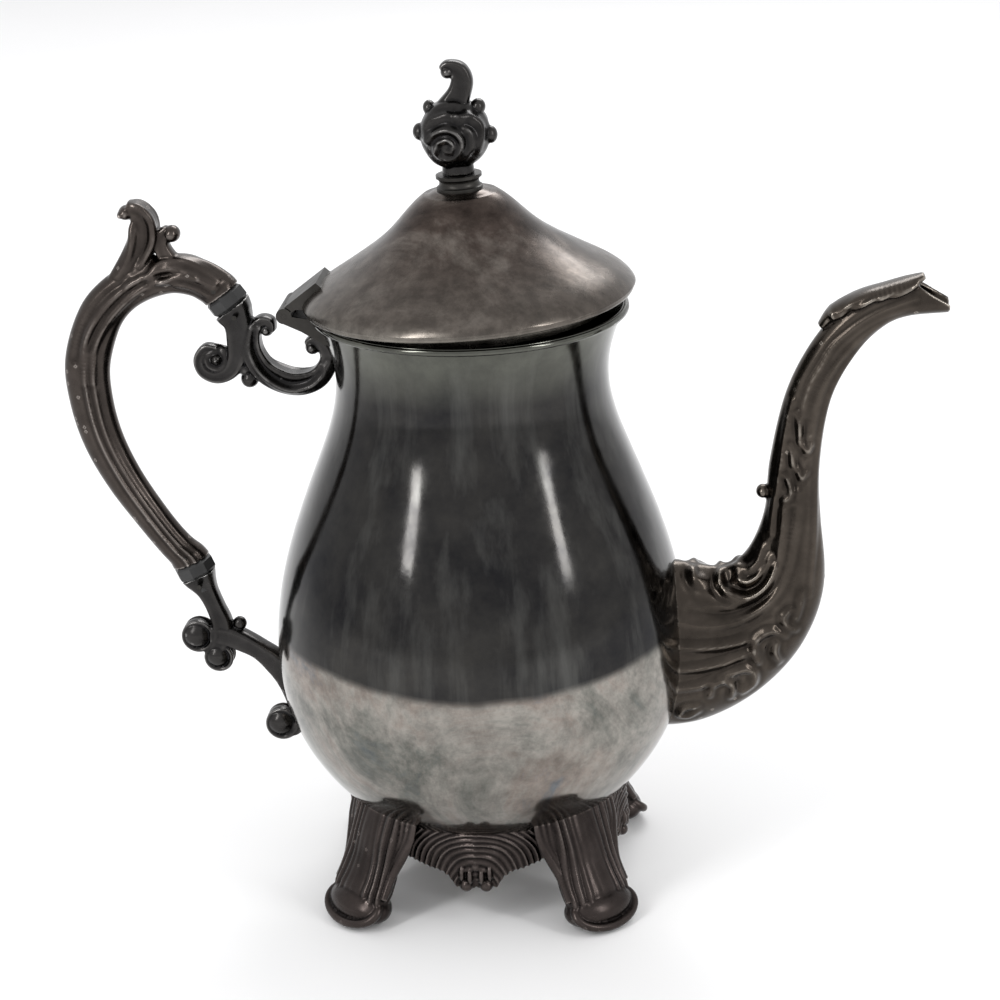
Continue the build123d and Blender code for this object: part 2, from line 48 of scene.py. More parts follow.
WIRE_LOW, WIRE_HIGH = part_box("mouth_wire")
AXIS_X = (WIRE_LOW[0] + WIRE_HIGH[0]) / 2 / MM

BODY_WALL = 1.0
BODY_LINE = [
    (27.0, 24.0), (55.6, 45.0), (65.6, 64.0), (68.9, 87.0),
    (63.6, 120.0), (52.6, 150.0), (44.7, 181.0), (51.0, 202.5),
]
BASE_Z = 24.0
MOUTH_Z = 202.5
LID_SEAT_Z = 202.8
LID_TOP_Z = 238.4
LID_LINE = [
    (53.4, 204.2), (51.2, 206.9), (44.5, 211.5), (33.0, 218.5),
    (24.0, 225.0), (17.0, 232.0), (8.0, 238.4),
]
LID_WALL = 0.9
HINGE_X = -59.5
HINGE_Z = 201.8
LID_AJAR = math.radians(2.6)
KNOB_R = 11.6
KNOB_Z = 256.5
SPOUT_WALL = 1.5


# Curves and grids of points

def smooth_table(stations, count):
    """Rows of numbers on smooth curves through the stations, count of them."""
    s = np.asarray(stations, float)
    last = len(s) - 1
    place = np.linspace(0, last, count)
    i = np.minimum(place.astype(int), last - 1)
    t = (place - i)[:, None]
    a, b = s[np.maximum(i - 1, 0)], s[i]
    c, d = s[i + 1], s[np.minimum(i + 2, last)]
    bend = 2 * a - 5 * b + 4 * c - d
    twist = 3 * b - a - 3 * c + d
    return b + 0.5 * ((c - a) * t + bend * t**2 + twist * t**3)


def cubic_line(points, start, end, count):
    """A curve without kinks through the points, leaving and arriving in the given directions."""
    p = np.asarray(points, float)
    chord = np.linalg.norm(np.diff(p, axis=0), axis=1)
    s = np.concatenate([[0], np.cumsum(chord)])
    n = len(p)
    system = np.zeros((n, n))
    right = np.zeros((n, p.shape[1]))
    system[0, 0] = system[-1, -1] = 1
    right[0] = np.asarray(start) / np.linalg.norm(start)
    right[-1] = np.asarray(end) / np.linalg.norm(end)
    for i in range(1, n - 1):
        h0, h1 = chord[i - 1], chord[i]
        system[i, i - 1:i + 2] = 1 / h0, 2 * (1 / h0 + 1 / h1), 1 / h1
        right[i] = 3 * ((p[i] - p[i - 1]) / h0**2 + (p[i + 1] - p[i]) / h1**2)
    slope = np.linalg.solve(system, right)
    at = np.linspace(0, s[-1], count)
    i = np.minimum(np.searchsorted(s, at, side="right") - 1, n - 2)
    h = chord[i][:, None]
    t = ((at - s[i]) / chord[i])[:, None]
    return (
        (2 * t**3 - 3 * t**2 + 1) * p[i] + (t**3 - 2 * t**2 + t) * h * slope[i]
        + (3 * t**2 - 2 * t**3) * p[i + 1] + (t**3 - t**2) * h * slope[i + 1]
    )


def lathe_grid(line, turns=256):
    """A grid of points from a line of (radius, height), turned about the axis."""
    turn = np.linspace(0, 2 * math.pi, turns, endpoint=False)
    line = np.asarray(line, float)
    x = line[:, :1] * np.cos(turn)
    y = line[:, :1] * np.sin(turn)
    z = np.repeat(line[:, 1:], turns, axis=1)
    return np.stack([x, y, z], axis=2)


def oval_grid(stations, count, around, flute=0.0, angles=True):
    """A limb's grid through stations of x, z, (angle,) half depth and half width.

    A flute is how deep its two sides are hollowed. Without angles, sections stand square to the line.
    """
    table = smooth_table(stations, count)
    if angles:
        x, z, angle, depth, width = table.T
        angle = np.radians(angle)
    else:
        x, z, depth, width = table.T
        angle = np.unwrap(np.arctan2(np.gradient(z), np.gradient(x)))
    turn = np.linspace(0, 2 * math.pi, around, endpoint=False)[None, :]
    u = depth[:, None] * np.cos(turn)
    v = (width[:, None] - flute * np.sin(turn) ** 8) * np.sin(turn)
    return np.stack([
        x[:, None] - u * np.sin(angle)[:, None],
        v,
        z[:, None] + u * np.cos(angle)[:, None],
    ], axis=2)


def grid_normals(grid):
    """Outward unit normals of a grid that is closed round its columns."""
    along = np.gradient(grid, axis=0)
    around = np.roll(grid, -1, axis=1) - np.roll(grid, 1, axis=1)
    normal = np.cross(around, along)
    normal /= np.maximum(np.linalg.norm(normal, axis=2, keepdims=True), 1e-9)
    middle = grid.mean(axis=1, keepdims=True)
    flip = np.sign(np.sum(normal * (grid - middle)))
    return normal * flip


def lifted(points):
    """Points of the closed lid, turned about the hinge to the angle at which it rests."""
    points = np.array(points, float)
    x = points[..., 0] - HINGE_X
    z = points[..., 2] - HINGE_Z
    c, s = math.cos(LID_AJAR), math.sin(LID_AJAR)
    points[..., 0] = HINGE_X + c * x - s * z
    points[..., 2] = HINGE_Z + s * x + c * z
    return points


# Meshes

def new_piece(name, points, faces, body, material, smooth=True):
    """A mesh piece from points in millimetres and faces, riding on a body."""
    mesh = bpy.data.meshes.new(name)
    points = np.asarray(points, float).reshape(-1, 3) * MM
    points[:, 0] += AXIS_X * MM
    mesh.from_pydata(points.tolist(), [], faces)
    mesh.validate()
    mesh.polygons.foreach_set("use_smooth", [smooth] * len(mesh.polygons))
    mesh.materials.append(material)
    mesh.update()
    piece = bpy.data.objects.new(name, mesh)
    bpy.context.scene.collection.objects.link(piece)
    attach(piece, body)
    return piece


def grid_faces(rows, columns, start=0, caps=True, closed=True):
    """Quads of a grid, with its two ends closed."""
    index = np.arange(rows * columns).reshape(rows, columns) + start
    after = np.roll(index, -1, axis=1)
    quads = np.stack([index[:-1], index[1:], after[1:], after[:-1]], axis=2)
    if not closed:
        quads = quads[:, :-1]
    faces = quads.reshape(-1, 4).tolist()
    if caps:
        faces.append(index[0].tolist())
        faces.append(index[-1][::-1].tolist())
    return faces


def grids_mesh(grids):
    """Points and faces of several capped grids together."""
    points, faces, start = [], [], 0
    for grid in grids:
        rows, columns = grid.shape[:2]
        points.append(grid.reshape(-1, 3))
        faces += grid_faces(rows, columns, start)
        start += rows * columns
    return np.concatenate(points), faces


def fuse(piece, voxel, smoothing):
    """Melts the overlapping shells of a casting into one skin and softens it a little."""
    melt = piece.modifiers.new("melt", "REMESH")
    melt.mode = "VOXEL"
    melt.voxel_size = voxel * MM
    melt.use_smooth_shade = True
    soften = piece.modifiers.new("soften", "SMOOTH")
    soften.factor = 0.5
    soften.iterations = smoothing
    bpy.context.view_layer.update()
    graph = bpy.context.evaluated_depsgraph_get()
    made = bpy.data.meshes.new_from_object(piece.evaluated_get(graph))
    materials = list(piece.data.materials)
    piece.modifiers.clear()
    piece.data = made
    made.materials.clear()
    for material in materials:
        made.materials.append(material)
    made.polygons.foreach_set("use_smooth", [True] * len(made.polygons))
    return piece


# Materials, whose lengths are in metres. A height times RAMP_SCALE fits a colour ramp's range.

BUMP_DISTANCE = 0.0004
HOLLOW_POINT = 0.455
RIDGE_POINT = 0.585
RAMP_SCALE = 4.0
BELLY_R = 0.069
# The height where the body's painted reflection turns from dark to pale, and how far that edge dips
REFLECTION_EDGE_Z = 0.1010
REFLECTION_EDGE_DIP = 0.0065


class Paint:
    """A node material in the making: short calls for the nodes that the metals share."""

    def __init__(self, name):
        """A new material whose patterns lie in the object's own coordinates."""
        self.material = bpy.data.materials.new(name)
        self.material.use_nodes = True
        self.tree = self.material.node_tree
        self.shader = self.tree.nodes["Principled BSDF"]
        self.coords = self.add("ShaderNodeTexCoord").outputs["Object"]

    def add(self, kind, **settings):
        """A new node with its settings."""
        node = self.tree.nodes.new(kind)
        for key, value in settings.items():
            setattr(node, key, value)
        return node

    def link(self, source, target):
        """A wire from an output to an input."""
        self.tree.links.new(source, target)

    def noise(self, scale, detail=6, rough=0.6, stretch=None, distort=0.0):
        """A cloudy pattern, its scale in lumps per metre."""
        node = self.add("ShaderNodeTexNoise")
        node.inputs["Scale"].default_value = scale
        node.inputs["Detail"].default_value = detail
        node.inputs["Roughness"].default_value = rough
        node.inputs["Distortion"].default_value = distort
        source = self.coords
        if stretch:
            mapping = self.add("ShaderNodeMapping")
            mapping.inputs["Scale"].default_value = stretch
            self.link(self.coords, mapping.inputs["Vector"])
            source = mapping.outputs["Vector"]
        self.link(source, node.inputs["Vector"])
        return node.outputs["Fac"]

    def ramp(self, value, *stops):
        """A colour ramp; each stop is a place and a grey or a colour."""
        node = self.add("ShaderNodeValToRGB")
        elements = node.color_ramp.elements
        while len(elements) < len(stops):
            elements.new(0.5)
        for element, (place, colour) in zip(elements, stops):
            element.position = place
            grey = isinstance(colour, (int, float))
            element.color = (*([colour] * 3 if grey else colour), 1)
        self.link(value, node.inputs["Fac"])
        return node.outputs["Color"]

    def mix(self, share, a, b, blend="MIX"):
        """Two colours mixed by a share; each of the three is a number, a colour or an output."""
        node = self.add("ShaderNodeMix", data_type="RGBA", blend_type=blend)
        for socket, value in ((node.inputs[0], share), (node.inputs[6], a), (node.inputs[7], b)):
            if isinstance(value, (int, float)):
                socket.default_value = value
            elif isinstance(value, tuple):
                socket.default_value = (*value, 1)
            else:
                self.link(value, socket)
        return node.outputs[2]

    def math(self, operation, a, b=0.0):
        """A sum, product or power of two values."""
        node = self.add("ShaderNodeMath", operation=operation)
        for socket, value in ((node.inputs[0], a), (node.inputs[1], b)):
            if isinstance(value, (int, float)):
                socket.default_value = value
            else:
                self.link(value, socket)
        return node.outputs[0]

    def height(self):
        """The height above the table, in metres."""
        split = self.add("ShaderNodeSeparateXYZ")
        self.link(self.coords, split.inputs[0])
        return split.outputs["Z"]

    def across(self):
        """The distance in front of or behind the pot's middle, in metres."""
        split = self.add("ShaderNodeSeparateXYZ")
        self.link(self.coords, split.inputs[0])
        return self.math("ABSOLUTE", split.outputs["Y"])

    def edges(self):
        """From 0 in hollows to 1 on ridges."""
        geometry = self.add("ShaderNodeNewGeometry")
        return self.ramp(geometry.outputs["Pointiness"], (HOLLOW_POINT, 0.0), (RIDGE_POINT, 1.0))

    def bump(self, height, strength):
        """Fine unevenness of the surface."""
        node = self.add("ShaderNodeBump")
        node.inputs["Strength"].default_value = strength
        node.inputs["Distance"].default_value = BUMP_DISTANCE
        self.link(height, node.inputs["Height"])
        self.link(node.outputs["Normal"], self.shader.inputs["Normal"])

    def finish(self, colour, roughness, metallic=1.0):
        """The finished material, a metal unless it says otherwise."""
        for name, value in (("Base Color", colour), ("Roughness", roughness)):
            if isinstance(value, (int, float)):
                self.shader.inputs[name].default_value = value
            elif isinstance(value, tuple):
                self.shader.inputs[name].default_value = (*value, 1)
            else:
                self.link(value, self.shader.inputs[name])
        self.shader.inputs["Metallic"].default_value = metallic
        return self.material


def body_material():
    """Dark above the belly, a painted reflection of dark surroundings; below it a pale band, a painted
    reflection of bright surroundings mottled with thin tarnish.

    The band's upper edge, the painted reflection's horizon, dips by REFLECTION_EDGE_DIP towards the front
    and the back.
    """
    paint = Paint("body_plate")
    # The edge between the painted dark and pale reflections: wavy, and dipping towards front and back.
    wave = paint.math("MULTIPLY", paint.noise(11, 3), 0.007)
    height = paint.math("ADD", paint.height(), wave)
    front = paint.math("MULTIPLY", paint.math("POWER", paint.across(), 2.0), REFLECTION_EDGE_DIP / BELLY_R**2)
    edge = paint.math("MULTIPLY", paint.math("ADD", height, front), RAMP_SCALE)
    # Below this edge lies the pale band, a painted reflection of bright surroundings.
    below = paint.ramp(edge, (RAMP_SCALE * REFLECTION_EDGE_Z - 0.006, 1.0), (RAMP_SCALE * REFLECTION_EDGE_Z + 0.004, 0.0))
    cloud = paint.noise(38, 8, 0.65)
    # The dark part above the edge is a painted reflection of dark surroundings, mottled.
    dark = paint.ramp(cloud, (0.3, (0.016, 0.016, 0.018)), (0.7, (0.050, 0.048, 0.045)))
    # Lighter vertical streaks over the dark part: painted reflection streaks.
    reflection_streak = paint.ramp(paint.noise(15, 5, 0.62, stretch=(6, 6, 0.3)), (0.50, 0.0), (0.74, 0.45))
    dark = paint.mix(reflection_streak, dark, (0.125, 0.125, 0.118))
    neck = paint.ramp(paint.math("MULTIPLY", height, RAMP_SCALE), (0.735, 0.0), (0.80, 0.55))
    patchy = paint.ramp(paint.noise(46, 8, 0.7), (0.36, 0.25), (0.6, 1.0))
    neck = paint.mix(0.6, neck, patchy, "MULTIPLY")
    dark = paint.mix(neck, dark, (0.19, 0.195, 0.165))
    tint = paint.noise(17, 6, 0.7, distort=1.2)
    pale = paint.ramp(
        tint, (0.28, (0.12, 0.14, 0.15)), (0.40, (0.20, 0.20, 0.18)), (0.50, (0.33, 0.31, 0.28)),
        (0.58, (0.29, 0.25, 0.22)), (0.68, (0.18, 0.20, 0.22)), (0.76, (0.23, 0.23, 0.15)),
    )
    speck = paint.ramp(paint.noise(120, 8, 0.75), (0.38, 0.35), (0.62, 1.0))
    pale = paint.mix(0.6, pale, speck, "MULTIPLY")
    colour = paint.mix(below, dark, pale)
    rough = paint.ramp(paint.noise(55, 8, 0.7), (0.3, 0.07), (0.75, 0.21))
    paint.bump(paint.noise(160, 4), 0.05)
    return paint.finish(colour, rough)


def lid_material():
    """Brown-grey mottled tarnish, paler towards the rim by a painted highlight, glossy enough for a soft
    highlight.
    """
    paint = Paint("lid_plate")
    cloud = paint.noise(30, 8, 0.68, distort=0.6)
    base = paint.ramp(
        cloud, (0.30, (0.028, 0.021, 0.018)), (0.5, (0.082, 0.064, 0.055)),
        (0.66, (0.19, 0.165, 0.145)),
    )
    height = paint.math("MULTIPLY", paint.height(), RAMP_SCALE)
    # Paler towards the rim: a painted highlight along the rim, fading up the dome.
    low = paint.ramp(height, (0.822, 0.75), (0.834, 0.35), (0.92, 0.0))
    base = paint.mix(low, base, (0.23, 0.215, 0.19))
    speck = paint.ramp(paint.noise(190, 6, 0.7), (0.40, 0.55), (0.6, 1.0))
    base = paint.mix(0.7, base, speck, "MULTIPLY")
    rough = paint.ramp(paint.noise(70, 8, 0.7), (0.3, 0.14), (0.7, 0.36))
    paint.bump(paint.noise(230, 5), 0.09)
    return paint.finish(base, rough)


def casting_material(name, hollow, face, ridge_wear_and_highlight, gloss=0.3, wear_and_highlight_share=0.8):
    """Blackened casting: dark in the hollows and bright along the ridges, partly from wear and partly a
    painted highlight, unless wear_and_highlight_share is 0.
    """
    paint = Paint(name)
    patch = paint.noise(60, 7, 0.65)
    base = paint.mix(paint.ramp(patch, (0.35, 0.0), (0.7, 1.0)), face, tuple(0.5 * c for c in face))
    if wear_and_highlight_share:
        edge = paint.edges()
        base = paint.mix(paint.ramp(edge, (0.0, 1.0), (0.5, 0.0)), base, hollow)
        # Bright ridges: partly wear, partly a painted highlight.
        wear_and_highlight_mask = paint.ramp(edge, (0.50, 0.0), (0.82, wear_and_highlight_share), (0.93, wear_and_highlight_share), (0.98, 0.1))
        base = paint.mix(wear_and_highlight_mask, base, ridge_wear_and_highlight)
    rough = paint.ramp(paint.noise(140, 7, 0.7), (0.3, gloss), (0.7, gloss + 0.16))
    paint.bump(paint.noise(420, 5), 0.11)
    return paint.finish(base, rough)


def break_material():
    """Dull black collar that keeps the heat from the grip."""
    paint = Paint("black_break")
    tone = paint.ramp(paint.noise(150, 6), (0.35, 0.010), (0.7, 0.022))
    paint.bump(paint.noise(600, 5), 0.12)
    return paint.finish(tone, 0.42, metallic=0.0)


BODY_PLATE = body_material()
LID_PLATE = lid_material()
# Each casting: colours of its hollows, face and bright ridges (partly wear, partly a painted highlight),
# then gloss and share.
DARK_CASTING = casting_material(
    "dark_casting", (0.008, 0.008, 0.009), (0.060, 0.057, 0.055), (0.36, 0.35, 0.34), 0.18, 0.9)
GRIP_PLATE = casting_material(
    "grip_plate", (0.012, 0.010, 0.009), (0.088, 0.074, 0.066), (0.42, 0.38, 0.35), 0.17, 0.9)
SPOUT_PLATE = casting_material(
    "spout_plate", (0.012, 0.010, 0.009), (0.092, 0.077, 0.064), (0.44, 0.40, 0.35), 0.16, 0.9)
FOOT_CASTING = casting_material(
    "foot_casting", (0.007, 0.006, 0.006), (0.066, 0.054, 0.050), (0.22, 0.19, 0.175), 0.20, 0.7)
BLACK_BREAK = break_material()
HINGE_CASTING = casting_material(
    "hinge_casting", (0.01, 0.01, 0.01), (0.055, 0.052, 0.048), (0.2, 0.2, 0.2), 0.3, 0)
PLAIN_STEEL = casting_material(
    "plain_steel", (0.05, 0.05, 0.05), (0.30, 0.29, 0.27), (0.5, 0.5, 0.5), 0.3, 0)


# The turned body and lid

def offset_profile(line, offset):
    """A line beside a profile of (radius, height), at an offset to its outer side."""
    way = np.gradient(line, axis=0)
    way /= np.linalg.norm(way, axis=1, keepdims=True)
    return line + np.stack([way[:, 1], -way[:, 0]], axis=1) * offset


def make_body():
    """The turned body with its flat base, open at the mouth."""
    outer = cubic_line(BODY_LINE, (1, 0.25), (0.55, 1), 220)
    inner = offset_profile(outer, -BODY_WALL)
    inner = inner[inner[:, 1] <= MOUTH_Z]
    lip = [(outer[-1, 0] - 0.5, outer[-1, 1] + 0.25), (inner[-1, 0], MOUTH_Z)]
    under = [(0.01, BASE_Z), (20.0, BASE_Z), (26.4, BASE_Z)]
    inside = [(20.0, BASE_Z + BODY_WALL), (0.01, BASE_Z + BODY_WALL)]
    line = np.concatenate([under, outer, lip, inner[::-1], inside])
    grid = lathe_grid(line, 288)
    points, faces = grids_mesh([grid])
    piece = new_piece("body", points, faces, "pot", BODY_PLATE)
    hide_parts("body_shell")


def make_lid():
    """The turned lid with its rim and the hole for the finial's stud."""
    outer = cubic_line(LID_LINE, (-0.5, 1), (-1, 0.35), 150)
    inner = offset_profile(outer, LID_WALL)
    edge = [(52.2, LID_SEAT_Z), (53.2, LID_SEAT_Z), (53.55, LID_SEAT_Z + 0.5)]
    crown = [(2.4, LID_TOP_Z), (2.4, LID_TOP_Z - LID_WALL)]
    inside = inner[::-1]
    line = np.concatenate([edge, outer, crown, inside[inside[:, 1] < LID_TOP_Z - LID_WALL]])
    line = np.concatenate([line, line[:1]])
    grid = lifted(lathe_grid(line, 288))
    rows, columns = grid.shape[:2]
    faces = grid_faces(rows, columns, caps=False)
    piece = new_piece("lid", grid, faces, "lid", LID_PLATE)
    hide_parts("lid_shell")


make_body()
make_lid()


# Castings: dense grids, raised and sunk along strokes drawn in the side view, melted into one skin

STROKE_SPREAD = 1.3
STROKE_STEPS = 8
END_FADE = 0.25
BESIDE_DEPTH = 0.35
BESIDE_PLACE = 2.1
BESIDE_WIDTH = 0.8
SIDE_FROM = 0.08
SIDE_SPAN = 0.45


def relief(grid, strokes):
    """The grid raised along strokes of (width, height, side-view points), with a hollow beside each.

    A height below zero is a groove. Strokes fade where the surface turns away from the side view.
    """
    normal = grid_normals(grid)
    facing = np.clip((np.abs(normal[..., 1]) - SIDE_FROM) / SIDE_SPAN, 0, 1)
    rise = np.zeros(grid.shape[:2])
    for width, height, points in strokes:
        line = smooth_table(points, STROKE_STEPS * len(points))
        fade = np.sin(np.linspace(END_FADE, math.pi - END_FADE, len(line))) ** 0.5
        gap = np.hypot(grid[..., 0, None] - line[:, 0], grid[..., 2, None] - line[:, 1])
        nearest = gap.argmin(axis=2)
        near = np.take_along_axis(gap, nearest[..., None], 2)[..., 0]
        share = near / (STROKE_SPREAD * width)
        trough = BESIDE_DEPTH * np.exp(-(((share - BESIDE_PLACE) / BESIDE_WIDTH) ** 2))
        rise += height * fade[nearest] * (np.exp(-(share**2)) - trough)
    return grid + normal * (rise * facing)[..., None]


BAND_FADE = 0.08


def banded(grid, bands, start):
    """The grid raised by bands of (place across, width, height), from a share of its length on."""
    rows, columns = grid.shape[:2]
    turn = np.linspace(0, 2 * math.pi, columns, endpoint=False)
    across, side = np.cos(turn), np.abs(np.sin(turn))
    heights = [height * np.exp(-(((across - place) / width) ** 2)) for place, width, height in bands]
    rise = sum(heights) * side
    share = np.clip((np.linspace(0, 1, rows) - start) / BAND_FADE, 0, 1)
    return grid + grid_normals(grid) * (share[:, None] * rise[None, :])[..., None]


def ribbon_grid(stations, count=120, around=64, groove=0.16):
    """A scroll ribbon through stations of x, z, half depth and half width, rimmed on both sides."""
    x, z, depth, width = smooth_table(stations, count).T
    angle = np.unwrap(np.arctan2(np.gradient(z), np.gradient(x)))
    turn = np.linspace(0, 2 * math.pi, around, endpoint=False)[None, :]
    c, s = np.cos(turn), np.sin(turn)
    u = depth[:, None] * np.sign(c) * np.abs(c) ** 0.8
    v = width[:, None] * np.sign(s) * (np.abs(s) ** 0.6 - groove * np.abs(s) ** 8)
    return np.stack([
        x[:, None] - u * np.sin(angle)[:, None], v, z[:, None] + u * np.cos(angle)[:, None],
    ], axis=2)


def ball_grid(x, y, z, rx, ry=None, rz=None, rows=28, columns=48):
    """A ball or a domed button with its poles across the pot."""
    ry = rx if ry is None else ry
    rz = rx if rz is None else rz
    rise = np.linspace(-0.998, 0.998, rows)[:, None] * math.pi / 2
    turn = np.linspace(0, 2 * math.pi, columns, endpoint=False)[None, :]
    return np.stack([
        x + rx * np.cos(rise) * np.cos(turn), y + ry * np.sin(rise) * np.ones_like(turn),
        z + rz * np.cos(rise) * np.sin(turn),
    ], axis=2)


def ring_grid(place, across, upward, radius_a, radius_b, tube, rows=72, columns=20):
    """An oval ring about a place, lying in the plane of two directions."""
    place, across, upward = (np.asarray(v, float) for v in (place, across, upward))
    square = np.cross(across, upward)
    t = np.linspace(0, 2 * math.pi, rows + 1)[:, None, None]
    s = np.linspace(0, 2 * math.pi, columns, endpoint=False)[None, :, None]
    spoke = np.cos(t) * across + np.sin(t) * upward
    middle = place + radius_a * np.cos(t) * across + radius_b * np.sin(t) * upward
    return middle + tube * (np.cos(s) * spoke + np.sin(s) * square)


def shifted(grid, y):
    """A grid moved across the pot."""
    return grid + np.array([0, y, 0])


def turned(grid, angle):
    """A grid turned about the body's axis by an angle in degrees."""
    a = math.radians(angle)
    x = grid[..., 0] * math.cos(a) - grid[..., 1] * math.sin(a)
    y = grid[..., 0] * math.sin(a) + grid[..., 1] * math.cos(a)
    return np.stack([x, y, grid[..., 2]], axis=-1)


def cut_columns(grid, keep):
    """The grid with each column shortened to the stretch where keep, a signed distance, is positive."""
    rows, columns = grid.shape[:2]
    inside = keep > 0
    first = np.maximum(inside.argmax(axis=0), 1)
    last = np.minimum(rows - 1 - inside[::-1].argmax(axis=0), rows - 2)
    place = np.arange(rows)
    out = np.empty_like(grid)
    for j in range(columns):
        a, b = first[j], last[j]
        low = a - keep[a, j] / (keep[a, j] - keep[a - 1, j])
        high = b + keep[b, j] / (keep[b, j] - keep[b + 1, j])
        at = np.linspace(low, high, rows)
        for k in range(3):
            out[:, j, k] = np.interp(at, place, grid[:, j, k])
    return out


def shell_mesh(outer, inner):
    """Points and faces of a thick tube from its outer and inner grids, with rims at both ends."""
    rows, columns = outer.shape[:2]
    faces = grid_faces(rows, columns, 0, caps=False)
    start = rows * columns
    faces += [face[::-1] for face in grid_faces(inner.shape[0], columns, start, caps=False)]
    end = start + (inner.shape[0] - 1) * columns
    for j in range(columns):
        k = (j + 1) % columns
        faces.append([j, k, start + k, start + j])
        faces.append([start - columns + k, start - columns + j, end + j, end + k])
    return np.concatenate([outer.reshape(-1, 3), inner.reshape(-1, 3)]), faces


def casting(name, grids, node, body, material, voxel, smoothing, mesh=None):
    """One melted casting from overlapping grids and one mesh, standing for a CAD piece."""
    points, faces = grids_mesh(grids)
    if mesh:
        faces += [[i + len(points) for i in face] for face in mesh[1]]
        points = np.concatenate([points, mesh[0]])
    piece = fuse(new_piece(name, points, faces, body, material), voxel, smoothing)
    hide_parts(node)
    return piece


OUTER_LINE = cubic_line(BODY_LINE, (1, 0.25), (0.55, 1), 400)


def body_radius(z):
    """The body's outer radius at a height."""
    return np.interp(z, OUTER_LINE[:, 1], OUTER_LINE[:, 0])


# Spout

